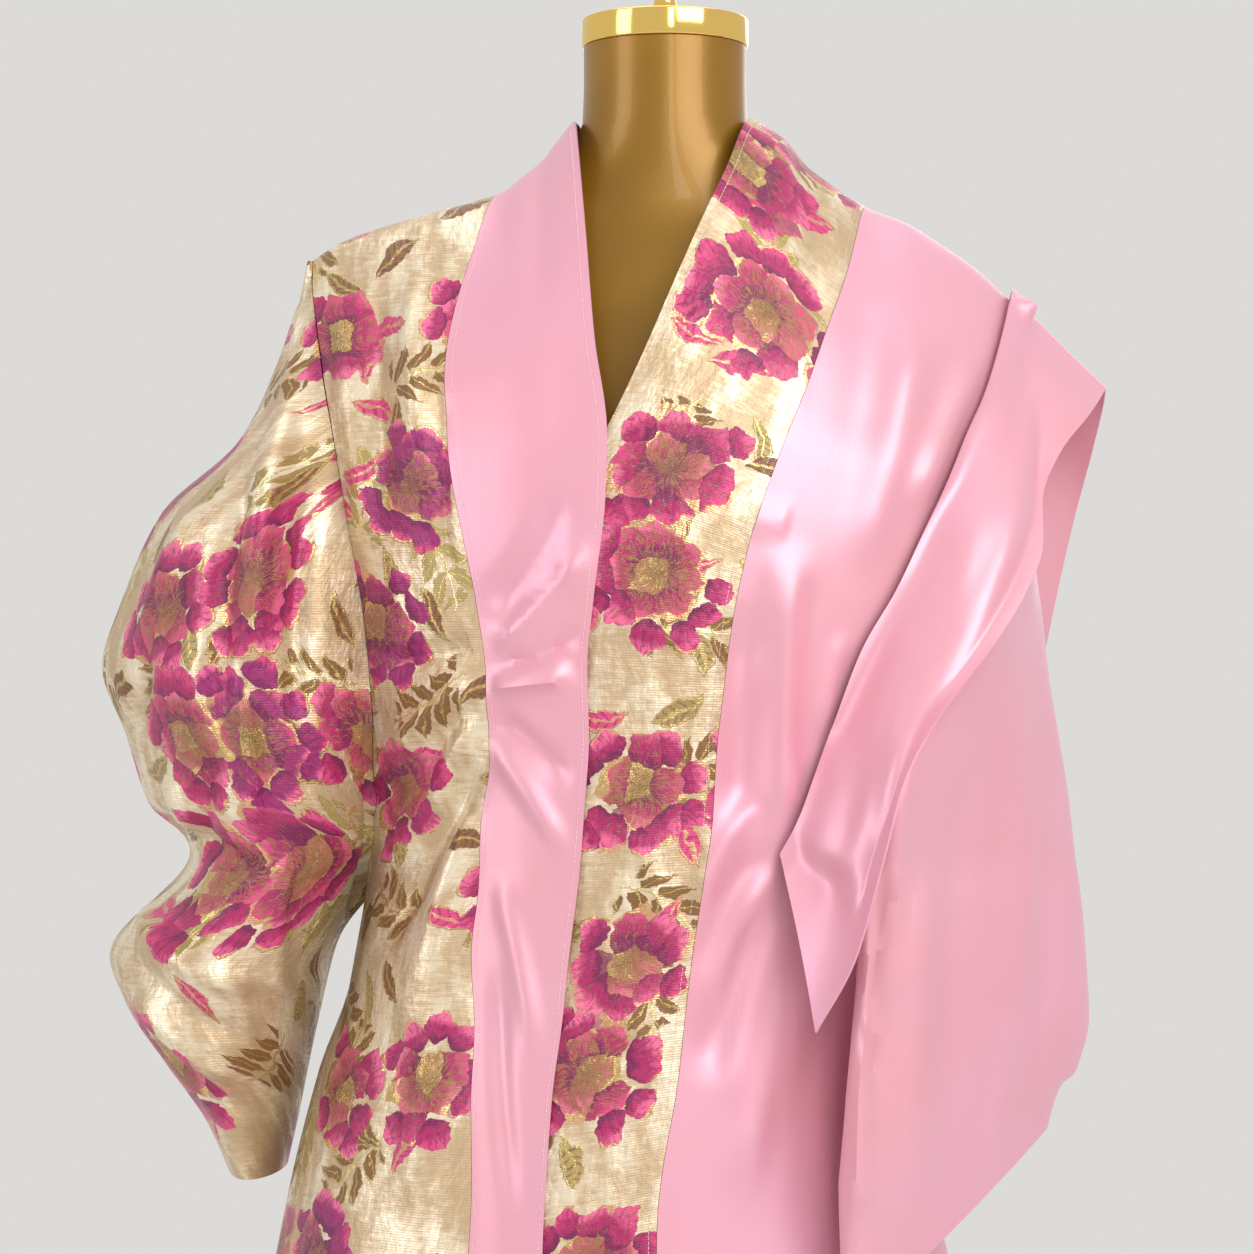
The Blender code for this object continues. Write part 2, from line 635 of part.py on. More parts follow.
def band(name, source, sign, lift, colour, parent):
    """A front band and its half of the collar, in one strip from the middle of the back to the hem."""
    front_edge = edge_places(source, "edge_x", "edge_z", True, ROWS_PER_STATION)
    front_seam = edge_places(source, "seam_x", "seam_z", True, ROWS_PER_STATION)
    collar_edge, collar_seam = collar_places(sign, source["rows"][0][2])
    share = np.linspace(0, 1, BAND_COLUMNS + 1)
    front_seam = across_gap(front_seam, -sign)
    front = between(front_edge, front_seam, BAND_COLUMNS)
    back = between(collar_edge, collar_seam, BAND_COLUMNS)
    overlap = fade((1 - share) / 0.55)[None, :]
    front_lift = lift * overlap * np.ones((len(front), 1))
    front_points = drape(front[..., 0], front[..., 1], front_lift)
    back_lift = lift * overlap * np.ones((len(back), 1))
    back_points = drape(back[..., 0], back[..., 1], back_lift)
    points = np.concatenate([back_points, front_points])
    normals = np.concatenate(
        [
            plain_normal(back[..., 0], back[..., 1]),
            plain_normal(front[..., 0], front[..., 1]),
        ]
    )
    ridge = len(back)
    normals[ridge] = normalised(normals[ridge - 1] + normals[ridge + 1])
    if sign < 0:
        points, normals = points[:, ::-1], normals[:, ::-1]
    return wall(name, points, normals, colour, parent)


def front_panel(name, source, sign, colour, parent):
    """One front, from its band's seam to the armhole and the side seam. Returns its armhole edge too."""
    seam = edge_places(source, "seam_x", "seam_z", True, ROWS_PER_STATION)
    outer = edge_places(source, "outer_x", "outer_z", True, ROWS_PER_STATION)
    inner = across_gap(seam, sign)
    side_rows = source["underarm_row"] * ROWS_PER_STATION
    held = outer.copy()
    held[side_rows:, 0] -= sign * SEAM_GAP / 2 / drape_size("half_width", held[side_rows:, 1])
    places = between(inner, held, FRONT_COLUMNS)
    points = drape(places[..., 0], places[..., 1])
    normals = plain_normal(places[..., 0], places[..., 1])
    open_shoulder(points, normals, -1)
    if sign < 0:
        points, normals = points[:, ::-1], normals[:, ::-1]
    wall(name, points, normals, colour, parent)
    return outer[: side_rows + 1]


def back_panel(name, source, front_source, sign, colour, parent):
    """One back, from the centre seam to the armhole and the side seam. Returns its armhole edge too."""
    centre_z = table(source)["centre_z"]
    stations = np.arange(len(centre_z))
    fine = np.linspace(0, len(centre_z) - 1, (len(centre_z) - 1) * ROWS_PER_STATION + 1)
    centre = np.array([place(0.0, z, False) for z in centre_z])
    centre_drop = smooth(fine, stations, centre[:, 1])
    centre_x = -drape_size("centre", centre_drop) / drape_size("half_width", centre_drop)
    middle = np.stack([sign * (math.pi - sign * np.arcsin(centre_x)), centre_drop], axis=-1)
    outer = edge_places(source, "outer_x", "outer_z", False, ROWS_PER_STATION)
    side_rows = source["underarm_row"] * ROWS_PER_STATION
    held = outer.copy()
    held[side_rows:, 0] += sign * SEAM_GAP / 2 / drape_size("half_width", held[side_rows:, 1])
    inner = middle.copy()
    inner[:, 0] -= sign * SEAM_GAP / 2 / drape_size("half_width", inner[:, 1])
    _, collar_seam = collar_places(sign, front_source["rows"][0][2])
    neck = np.vstack([collar_seam, [place(front_source["rows"][0][2], 9.0, False)]])
    if sign < 0:
        neck[-1, 0] -= 2 * math.pi
    neck[:, 1] += SEAM_GAP
    neck[-1, 0] -= sign * SEAM_GAP
    beyond = between(neck[-1:], held[:1], BACK_COLUMNS - NECK_COLUMNS)[0, 1:]
    beyond[:, 1] = 0.0
    top = np.vstack([neck, beyond])
    share = (top[:, 0] - top[0, 0]) / (top[-1, 0] - top[0, 0])
    straight = inner[:, None, :] * (1 - share[None, :, None]) + held[:, None, :] * share[None, :, None]
    settle = (1 - fade(fine / 5.0))[:, None, None]
    places = straight + (top - straight[0])[None] * settle
    points = drape(places[..., 0], places[..., 1])
    normals = plain_normal(places[..., 0], places[..., 1])
    open_shoulder(points, normals, 1)
    if sign > 0:
        points, normals = points[:, ::-1], normals[:, ::-1]
    wall(name, points, normals, colour, parent)
    return outer[: side_rows + 1]


def armhole_lines(front_edge, back_edge):
    """The armhole's front and back lines from the shoulder to the underarm, moved off the body by the gap."""
    places = np.vstack([front_edge, back_edge[-2:0:-1]])
    ring = drape(places[:, 0], places[:, 1])
    normals = plain_normal(places[:, 0], places[:, 1])
    along = normalised(np.roll(ring, -1, axis=0) - np.roll(ring, 1, axis=0))
    away = normalised(np.cross(along, normals))
    if np.sum(away * (ring.mean(axis=0) - ring)) < 0:
        away = -away
    ring = ring + away * (SEAM_GAP + CLOTH / 2) + normals * CLOTH * SEAM_RIDE
    under = len(front_edge) - 1
    return ring[: under + 1], np.vstack([ring[:1], ring[:under:-1], ring[under : under + 1]])


def at_height(line, z):
    """The point of a line at a height, where the line only goes down."""
    return np.array([np.interp(-z, -line[:, 2], line[:, i]) for i in range(3)])


def level_curve(stations, joined):
    """A smooth curve through five points: near the body, in front, outermost, behind, and near the body again."""
    pull = 0.828
    tangents = []
    for i in (1, 2, 3):
        ahead = stations[i + 1] - stations[i]
        behind = stations[i - 1] - stations[i]
        reach = min(np.linalg.norm(ahead - behind), 1.2 * min(np.linalg.norm(ahead), np.linalg.norm(behind)))
        tangents.append(pull * reach * normalised(normalised(ahead) - normalised(behind)))
    if joined:
        first = last = pull * (stations[1] - stations[3])
    else:
        tangents[0][1] *= 0.3
        tangents[2][1] *= 0.3
        first = 1.5 * (stations[1] - stations[0]) - 0.5 * tangents[0]
        last = 1.5 * (stations[4] - stations[3]) - 0.5 * tangents[2]
    tangents = [first, *tangents, last]
    curve = [stations[0]]
    for i in range(4):
        for step in range(1, QUARTER_COLUMNS + 1):
            t = step / QUARTER_COLUMNS
            curve.append(
                (2 * t**3 - 3 * t**2 + 1) * stations[i]
                + (t**3 - 2 * t**2 + t) * tangents[i]
                + (3 * t**2 - 2 * t**3) * stations[i + 1]
                + (t**3 - t**2) * tangents[i + 1]
            )
    return np.array(curve)


def off_the_body(curve, z, sign):
    """A level's curve, pushed out sideways where it would come too near the drape. Its ends stay."""
    drop = NECK_TOP - z
    depth = np.where(curve[:, 1] < 0, drape_size("front", drop), drape_size("back", drop))
    facing = np.minimum(np.abs(curve[:, 1]) / depth, 1.0) ** (1 / CROWN)
    reach = drape_size("half_width", drop) * np.sqrt(1 - facing**2)
    limit = sign * drape_size("centre", drop) + np.where(facing < 1, reach, -1.0) + SLEEVE_CLEARANCE
    pushed = curve.copy()
    pushed[1:-1, 0] = sign * np.maximum(sign * curve[1:-1, 0], limit[1:-1])
    return pushed


def over_the_shoulder(front_line, back_line, next_row):
    """The sleeve's first row, along the armhole from its front over the shoulder to its back."""
    line = np.stack([front_line[1], front_line[0], at_height(back_line, front_line[1][2])])
    far = np.concatenate([[0.0], np.cumsum(np.linalg.norm(np.diff(line, axis=0), axis=1))])
    steps = np.concatenate([[0.0], np.cumsum(np.linalg.norm(np.diff(next_row, axis=0), axis=1))])
    at = far[-1] * steps / steps[-1]
    return np.stack([np.interp(at, far, line[:, i]) for i in range(3)], axis=-1)


def sleeve(name, source, front_edge, back_edge, sign, colour, parent):
    """A sleeve, level by level from the shoulder to its open hem."""
    columns = table(source)
    front_line, back_line = armhole_lines(front_edge, back_edge)
    heights = [front_line[1, 2], *front_line[2:4, 2], *front_line[5:-1:2, 2], front_line[-1, 2]]
    joined_from = len(heights) - 1
    heights += [z for z in columns["z"] if z < heights[-1] - 0.012]
    rising = columns["z"][::-1]
    rows = []
    for i, z in enumerate(heights):
        size = {c: float(smooth(z, rising, columns[c][::-1])) for c in SLEEVE_COLUMNS[1:]}
        inside = np.array([size["in_x"], size["in_y"], z])
        ends = (inside, inside)
        if i <= joined_from:
            ends = (at_height(front_line, z), at_height(back_line, z))
        stations = [
            ends[0],
            np.array([size["front_x"], size["front_y"], z]),
            np.array([size["out_x"], size["out_y"], z]),
            np.array([size["back_x"], size["back_y"], z]),
            ends[1],
        ]
        curve = level_curve(stations, i >= joined_from)
        if NECK_TOP - z > RIDGE_FADE:
            curve = off_the_body(curve, z, sign)
        curve[:, 2] += size["rise"] * np.maximum(curve[:, 0] - size["front_x"], 0)
        rows.append(curve)
    points = np.array(rows)
    points[0] = over_the_shoulder(front_line, back_line, points[1])
    if sign < 0:
        points = points[:, ::-1]
    normals = grid_normals(points, joined_from)
    normals[1, 0] = normals[1, 1]
    normals[1, -1] = normals[1, -2]
    normals[0] = normals[1]
    return wall(name, points, normals, colour, parent, joined_from)


def outer_sheets(names):
    """The outer faces of walls already built, as one tree for finding the cloth that lies below."""
    vertices = []
    faces = []
    for name in names:
        mesh = bpy.data.objects[name].data
        half = len(mesh.vertices) // 2
        first = len(vertices)
        vertices += [v.co.copy() for v in mesh.vertices[:half]]
        faces += [[first + i for i in f.vertices] for f in mesh.polygons if max(f.vertices) < half]
    return BVHTree.FromPolygons(vertices, faces)


def neighbours(grid):
    """Each value of a grid with the eight round it, edges repeated."""
    rows, columns = grid.shape
    wide = np.pad(grid, 1, mode="edge")
    return np.stack([wide[i : i + rows, j : j + columns] for i in range(3) for j in range(3)])


def laid_over(points, facing, names, clearance):
    """Points moved out, the way their row faces, where they would sink into, or touch, the cloth below."""
    below = outer_sheets(names)
    lifts = np.zeros(points.shape[:2])
    ways = np.stack([np.cos(facing), np.sin(facing), 0.35 * np.cos(facing)], axis=-1)
    ways = normalised(ways)
    for row, way in enumerate(ways):
        out = Vector(way)
        for column in range(points.shape[1]):
            point = Vector(points[row, column])
            hit, normal = below.ray_cast(point + out * 0.15, -out, 0.15 + 3 * clearance)[:2]
            if hit is not None:
                room = clearance / max(normal.dot(out), 0.4)
                lifts[row, column] = max(room - (point - hit).dot(out), 0.0)
    lifts = np.maximum(neighbours(neighbours(lifts).max(axis=0)).mean(axis=0), lifts)
    lifts[:, 0] = np.minimum(lifts[:, 0], clearance)
    return points + ways[:, None] * lifts[..., None]


def flap(name, source, colour, parent):
    """The flap over the left sleeve, in one strip from its front end over the shoulder to its back end."""
    columns = table(source)
    places = np.array(
        [
            place(x, z, side < 0)
            for side, x, z in zip(columns["side"], columns["seam_x"], columns["seam_z"])
        ]
    )
    seam = drape(places[:, 0], places[:, 1], np.full(len(places), FLAP_LIFT))
    hem = np.stack([columns[c] for c in ("hem_x", "hem_y", "hem_z")], axis=-1)
    stations = np.arange(len(places))
    fine = np.linspace(0, len(places) - 1, (len(places) - 1) * FLAP_ROWS_PER_STATION + 1)
    seam, hem = (
        np.stack([smooth(fine, stations, edge[:, i]) for i in range(3)], axis=-1)
        for edge in (seam, hem)
    )
    share = np.linspace(0, 1, FLAP_COLUMNS + 1)[None, :, None]
    points = seam[:, None] * (1 - share) + hem[:, None] * share
    swell = smooth(fine, stations, columns["swell"])[:, None, None] * np.sin(share * math.pi)
    points = points + grid_normals(points) * swell
    facing = np.radians(smooth(fine, stations, columns["faces"]))
    points = laid_over(points, facing, ("front_left", "back_left", "sleeve_left"), FLAP_CLEARANCE)
    return wall(name, points, grid_normals(points), colour, parent)


# The form and its stand
def lofted(name, rings, colour, parent):
    """A closed solid through rings of points, from the bottom up, with flat ends."""
    rings = np.asarray(rings)
    count = rings.shape[1]
    faces = [tuple(reversed(range(count)))]
    for i in range(len(rings) - 1):
        for j in range(count):
            a, b = i * count + j, i * count + (j + 1) % count
            faces.append((a, b, b + count, a + count))
    top = (len(rings) - 1) * count
    faces.append(tuple(range(top, top + count)))
    return make_object(name, rings.reshape(-1, 3), faces, colour, parent)


def turned(name, outline, bottom, segments, colour, parent):
    """A turned solid from its radii and heights, standing at a height."""
    turn = np.linspace(0, 2 * math.pi, segments, endpoint=False)
    circle = np.stack([np.cos(turn), np.sin(turn)], axis=-1)
    rings = [
        np.column_stack([circle * radius, np.full(segments, bottom + height)])
        for radius, height in outline
    ]
    return lofted(name, rings, colour, parent)


def form_torso(colour, parent):
    columns = table(FORM)
    turn = np.linspace(0, 2 * math.pi, FORM_SEGMENTS, endpoint=False)
    rings = []
    for z, half_width, front, back in zip(*(columns[c] for c in FORM["columns"])):
        depth = np.where(np.sin(turn) < 0, front, back)
        ring = [half_width * np.cos(turn), depth * np.sin(turn), np.full(FORM_SEGMENTS, z)]
        rings.append(np.stack(ring, axis=-1))
    return lofted("form_torso", rings, colour, parent)


def stand(gold, parent):
    """The neck cap and its knob, the pole and the round base."""
    rim = 0.003
    cap = (
        (CAP_RADIUS - rim / 2, 0.0),
        (CAP_RADIUS, rim / 2),
        (CAP_RADIUS, CAP_HEIGHT - rim),
        (CAP_RADIUS - rim / 3, CAP_HEIGHT - rim / 3),
        (CAP_RADIUS - rim, CAP_HEIGHT),
    )
    turned("neck_cap", cap, CAP_BOTTOM, 40, gold, parent)
    turned("cap_knob", KNOB["rows"], CAP_BOTTOM + CAP_HEIGHT + FIT_GAP, 20, gold, parent)
    pole_bottom = BASE_HEIGHT + FIT_GAP
    pole = ((POLE_RADIUS, 0.0), (POLE_RADIUS, FORM_BOTTOM - FIT_GAP - pole_bottom))
    turned("stand_pole", pole, pole_bottom, 20, gold, parent)
    base = (
        (BASE_RADIUS, 0.0),
        (BASE_RADIUS, 0.006),
        (BASE_RADIUS * 0.97, 0.010),
        (BASE_RADIUS * 0.55, 0.0145),
        (0.030, 0.018),
        (0.021, BASE_HEIGHT),
    )
    turned("stand_base", base, 0.0, 40, gold, parent)


def colour_material(name):
    red, green, blue, roughness, metallic = COLOURS[name]
    material = bpy.data.materials.new(name)
    material.use_nodes = True
    shader = material.node_tree.nodes["Principled BSDF"]
    shader.inputs["Base Color"].default_value = (red, green, blue, 1.0)
    shader.inputs["Roughness"].default_value = roughness
    shader.inputs["Metallic"].default_value = metallic
    return material


def build():
    for old in list(bpy.data.objects):
        bpy.data.objects.remove(old)
    colours = {name: colour_material(name) for name in COLOURS}
    parent = bpy.data.objects.new("dress_on_form", None)
    bpy.context.scene.collection.objects.link(parent)

    band("band_right", RIGHT_FRONT, -1, OVERLAP_LIFT, colours["satin"], parent)
    band("band_left", LEFT_FRONT, 1, 0.0, colours["brocade"], parent)
    right_front = front_panel("front_right", RIGHT_FRONT, -1, colours["brocade"], parent)
    left_front = front_panel("front_left", LEFT_FRONT, 1, colours["satin"], parent)
    right_back = back_panel("back_right", RIGHT_BACK, RIGHT_FRONT, -1, colours["brocade"], parent)
    left_back = back_panel("back_left", LEFT_BACK, LEFT_FRONT, 1, colours["satin"], parent)
    sleeve("sleeve_right", RIGHT_SLEEVE, right_front, right_back, -1, colours["brocade"], parent)
    sleeve("sleeve_left", LEFT_SLEEVE, left_front, left_back, 1, colours["satin"], parent)
    flap("shoulder_flap_left", FLAP, colours["satin"], parent)

    form_torso(colours["form"], parent)
    stand(colours["gold"], parent)


build()
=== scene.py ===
"""The looks of a floor-length robe dress, half floral brocade and half satin, on a limbless dress form.

Every cloth piece is a thin shell on its solid's form, worked out again from the same sizes on a finer
grid, with its creases added. Metres. +X is the wearer's left, -Y is the front, +Z is up, and the floor is at
Z = 0.
"""

import json
import math

import bpy
import numpy as np
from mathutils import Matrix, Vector
from mathutils.bvhtree import BVHTree

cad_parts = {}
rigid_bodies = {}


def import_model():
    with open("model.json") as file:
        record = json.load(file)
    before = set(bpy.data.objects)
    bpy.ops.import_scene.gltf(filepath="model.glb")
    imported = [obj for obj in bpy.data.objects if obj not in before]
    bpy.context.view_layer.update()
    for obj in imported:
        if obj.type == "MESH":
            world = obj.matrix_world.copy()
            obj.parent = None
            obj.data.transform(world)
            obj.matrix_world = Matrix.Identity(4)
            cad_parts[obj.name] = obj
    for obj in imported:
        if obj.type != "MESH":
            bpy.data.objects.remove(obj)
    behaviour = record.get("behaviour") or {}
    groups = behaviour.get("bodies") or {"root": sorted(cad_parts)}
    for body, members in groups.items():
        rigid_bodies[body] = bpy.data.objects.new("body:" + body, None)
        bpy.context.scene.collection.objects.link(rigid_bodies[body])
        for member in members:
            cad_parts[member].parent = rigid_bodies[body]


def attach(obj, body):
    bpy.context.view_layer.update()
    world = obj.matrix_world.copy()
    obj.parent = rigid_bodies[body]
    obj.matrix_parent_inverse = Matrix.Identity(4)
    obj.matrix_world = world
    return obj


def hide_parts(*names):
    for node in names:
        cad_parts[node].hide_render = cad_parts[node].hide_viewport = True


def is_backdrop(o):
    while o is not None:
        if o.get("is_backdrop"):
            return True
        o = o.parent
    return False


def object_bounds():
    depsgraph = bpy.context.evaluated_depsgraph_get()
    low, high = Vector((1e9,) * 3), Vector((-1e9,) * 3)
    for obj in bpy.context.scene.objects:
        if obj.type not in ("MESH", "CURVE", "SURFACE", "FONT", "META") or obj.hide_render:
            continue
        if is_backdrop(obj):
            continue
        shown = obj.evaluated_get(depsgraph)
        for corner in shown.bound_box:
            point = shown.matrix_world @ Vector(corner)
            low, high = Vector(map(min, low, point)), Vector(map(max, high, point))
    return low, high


# Cloth
CLOTH = 0.0012
SEAM_GAP = 0.0003
OVERLAP_LIFT = 0.0034
FLAP_LIFT = 0.0048
SEAM_RIDE = 0.5
SLEEVE_CLEARANCE = 0.010
FLAP_CLEARANCE = 0.0058

# The dress's height on the form
NECK_TOP = 1.460
HEM = 0.075
RIDGE_FADE = 0.36
CROWN = 0.9

# The form and its stand
NECK_RADIUS = 0.0545
CAP_RADIUS = 0.0550
CAP_BOTTOM = 1.5133
CAP_HEIGHT = 0.018
FORM_BOTTOM = 0.757
POLE_RADIUS = 0.0125
BASE_RADIUS = 0.180
BASE_HEIGHT = 0.026
FIT_GAP = 0.0003

# Facets
ROWS_PER_STATION = 8
BAND_COLUMNS = 20
FRONT_COLUMNS = 56
COLLAR_ROWS = 6
NECK_COLUMNS = 4 * COLLAR_ROWS + 1
BACK_COLUMNS = 56
QUARTER_COLUMNS = 26
FLAP_ROWS_PER_STATION = 8
FLAP_COLUMNS = 26
LEVEL_STEP = 0.004
FORM_SEGMENTS = 128
SHARP_DEGREES = 50

# How far below the shoulder a sleeve's cap is rounded off, the least cosine that a seam's gap is divided by,
# the share of a band's width over which its lift fades, and the rows over which the back's neckline settles
CAP_ROUND = 0.030
NARROWEST = 0.35
OVERLAP_FADE = 0.55
NECK_ROWS = 5.0

# The search for a place on the drape: its steps, and a height that is above all of it
HALVINGS = 50
ABOVE_ALL = 9.0

# How far a sleeve level's curve swings out between its five points
LEVEL_PULL = 0.828
LEVEL_REACH = 1.2

# Creases fade out over this share of a row at its ends and over these rows below the seam. The fading at the
# ends stops over these rows above the underarm.
EDGE_SHARE = 0.06
SEAM_ROWS = 10
JOIN_ROWS = 14

# The rays that find the cloth below the flap: how far out they start, and how much they rise
RAY_START = 0.15
RAY_RISE = 0.35

# The drape: below the shoulder line, how wide and deep the worn cloth stands, by its drop in metres.
DRAPE = {
    "columns": ("drop", "centre", "half_width", "front", "back"),
    "rows": (
        (0.000, 0.000, 0.250, 0.000, 0.000),
        (0.0025, 0.000, 0.250, 0.0175, 0.0175),
        (0.010, 0.000, 0.250, 0.035, 0.035),
        (0.0225, 0.000, 0.250, 0.052, 0.051),
        (0.040, 0.000, 0.249, 0.069, 0.066),
        (0.070, 0.000, 0.248, 0.090, 0.080),
        (0.110, 0.000, 0.246, 0.112, 0.093),
        (0.160, 0.000, 0.241, 0.132, 0.103),
        (0.220, 0.000, 0.234, 0.148, 0.109),
        (0.290, 0.000, 0.224, 0.154, 0.109),
        (0.360, -0.002, 0.213, 0.152, 0.105),
        (0.430, -0.006, 0.198, 0.150, 0.103),
        (0.500, -0.012, 0.184, 0.151, 0.108),
        (0.560, -0.022, 0.184, 0.153, 0.117),
        (0.620, -0.031, 0.196, 0.157, 0.128),
        (0.700, -0.036, 0.211, 0.163, 0.142),
        (0.740, -0.035, 0.220, 0.167, 0.150),
        (0.900, -0.033, 0.252, 0.182, 0.170),
        (1.100, -0.030, 0.292, 0.200, 0.194),
        (1.385, -0.025, 0.340, 0.222, 0.222),
    ),
}

# The shoulder line seen from the front. Near the middle it only carries the collar round the neck.
SHOULDER_LINE = {
    "columns": ("x", "z"),
    "rows": (
        (-0.260, 1.352),
        (-0.232, 1.372),
        (-0.211, 1.385),
        (-0.155, 1.403),
        (-0.109, 1.416),
        (-0.089, 1.4275),
        (-0.079, 1.4345),
        (-0.069, 1.447),
        (-0.057, 1.462),
        (-0.045, 1.474),
        (-0.025, 1.488),
        (0.000, 1.495),
        (0.025, 1.488),
        (0.045, 1.476),
        (0.057, 1.466),
        (0.068, 1.459),
        (0.078, 1.452),
        (0.092, 1.435),
        (0.109, 1.422),
        (0.1335, 1.4065),
        (0.158, 1.397),
        (0.181, 1.383),
        (0.205, 1.3665),
        (0.228, 1.345),
        (0.260, 1.318),
    ),
}

# Each front from shoulder to hem: the band's free edge, the seam of band and front, and the front's outer
# edge, which is the armhole and then the side seam. At the side seam no x is given.
SIDE = None
RIGHT_FRONT = {
    "columns": ("edge_x", "edge_z", "seam_x", "seam_z", "outer_x", "outer_z"),
    "rows": (
        (-0.0570, 1.4605, -0.109, 1.416, -0.232, 1.372),
        (-0.0530, 1.4200, -0.121, 1.382, -0.229, 1.345),
        (-0.0490, 1.3700, -0.134, 1.333, -0.222, 1.305),
        (-0.0445, 1.3110, -0.139, 1.281, -0.214, 1.262),
        (-0.0370, 1.2540, -0.137, 1.242, -0.206, 1.218),
        (-0.0380, 1.2090, -0.128, 1.192, -0.198, 1.173),
        (-0.0450, 1.1500, -0.118, 1.143, -0.191, 1.128),
        (-0.0490, 1.1050, -0.112, 1.098, -0.187, 1.083),
        (-0.0480, 1.0600, -0.110, 1.054, -0.186, 1.038),
        (-0.0510, 1.0150, -0.116, 1.005, -0.188, 0.993),
        (-0.0570, 0.9520, -0.120, 0.944, SIDE, 0.950),
        (-0.0690, 0.8550, -0.121, 0.850, SIDE, 0.855),
        (-0.0760, 0.7570, -0.122, 0.753, SIDE, 0.752),
        (-0.0830, 0.6000, -0.133, 0.600, SIDE, 0.597),
        (-0.0900, 0.4200, -0.143, 0.420, SIDE, 0.418),
        (-0.0960, 0.2400, -0.153, 0.240, SIDE, 0.239),
        (-0.1000, HEM, -0.160, HEM, SIDE, HEM),
    ),
    "underarm_row": 10,
}
LEFT_FRONT = {
    "columns": RIGHT_FRONT["columns"],
    "rows": (
        (0.0575, 1.4640, 0.1335, 1.4065, 0.230, 1.3433),
        (0.0400, 1.4280, 0.1165, 1.3620, 0.216, 1.302),
        (0.0190, 1.3810, 0.1000, 1.3170, 0.194, 1.253),
        (-0.0060, 1.3220, 0.0840, 1.2740, 0.179, 1.220),
        (-0.0340, 1.2605, 0.0670, 1.2320, 0.162, 1.183),
        (-0.0620, 1.2090, 0.0500, 1.1820, 0.146, 1.150),
        (-0.0720, 1.1500, 0.0410, 1.1400, 0.127, 1.114),
        (-0.0760, 1.1050, 0.0360, 1.1000, 0.110, 1.073),
        (-0.0750, 1.0600, 0.0310, 1.0600, 0.096, 1.035),
        (-0.0765, 1.0300, 0.0290, 1.0300, 0.082, 1.000),
        (-0.0790, 1.0000, 0.0270, 1.0050, 0.104, 0.984),
        (-0.0820, 0.9700, 0.0220, 0.9750, 0.136, 0.966),
        (-0.0850, 0.9350, 0.0178, 0.9450, SIDE, 0.945),
        (-0.0960, 0.8550, 0.0080, 0.8650, SIDE, 0.865),
        (-0.1030, 0.7570, -0.0060, 0.7750, SIDE, 0.775),
        (-0.1100, 0.6000, -0.0080, 0.6000, SIDE, 0.600),
        (-0.1180, 0.4200, -0.0090, 0.4200, SIDE, 0.420),
        (-0.1240, 0.2400, -0.0100, 0.2400, SIDE, 0.241),
        (-0.1280, HEM, -0.0100, HEM, SIDE, HEM),
    ),
    "underarm_row": 12,
}

# The collar round the back of the neck, from the shoulder line to the middle of the back.
COLLAR = {
    "columns": ("edge_x", "edge_z", "seam_x", "seam_z"),
    "rows": (
        (0.0560, 1.4625, 0.126, 1.4060),
        (0.0520, 1.4600, 0.112, 1.4060),
        (0.0420, 1.4605, 0.085, 1.4050),
        (0.0240, 1.4615, 0.046, 1.4070),
        (0.0000, 1.4620, 0.000, 1.4090),
    ),
}

# Each back from the shoulder to the hem: the height on the centre seam, and the outer edge.
RIGHT_BACK = {
    "columns": ("centre_z", "outer_x", "outer_z"),
    "rows": (
        (1.409, -0.232, 1.372),
        (1.370, -0.226, 1.330),
        (1.310, -0.212, 1.265),
        (1.240, -0.199, 1.195),
        (1.165, -0.190, 1.120),
        (1.085, -0.187, 1.035),
        (1.000, SIDE, 0.950),
        (0.910, SIDE, 0.875),
        (0.820, SIDE, 0.795),
        (0.720, SIDE, 0.705),
        (0.590, SIDE, 0.580),
        (0.420, SIDE, 0.416),
        (0.245, SIDE, 0.244),
        (HEM, SIDE, HEM),
    ),
    "underarm_row": 6,
}
LEFT_BACK = {
    "columns": RIGHT_BACK["columns"],
    "rows": (
        (1.409, 0.230, 1.3433),
        (1.370, 0.223, 1.300),
        (1.310, 0.214, 1.240),
        (1.240, 0.206, 1.175),
        (1.165, 0.196, 1.105),
        (1.085, 0.182, 1.030),
        (1.000, SIDE, 0.945),
        (0.910, SIDE, 0.870),
        (0.820, SIDE, 0.790),
        (0.720, SIDE, 0.705),
        (0.590, SIDE, 0.580),
        (0.420, SIDE, 0.416),
        (0.245, SIDE, 0.244),
        (HEM, SIDE, HEM),
    ),
    "underarm_row": 6,
}

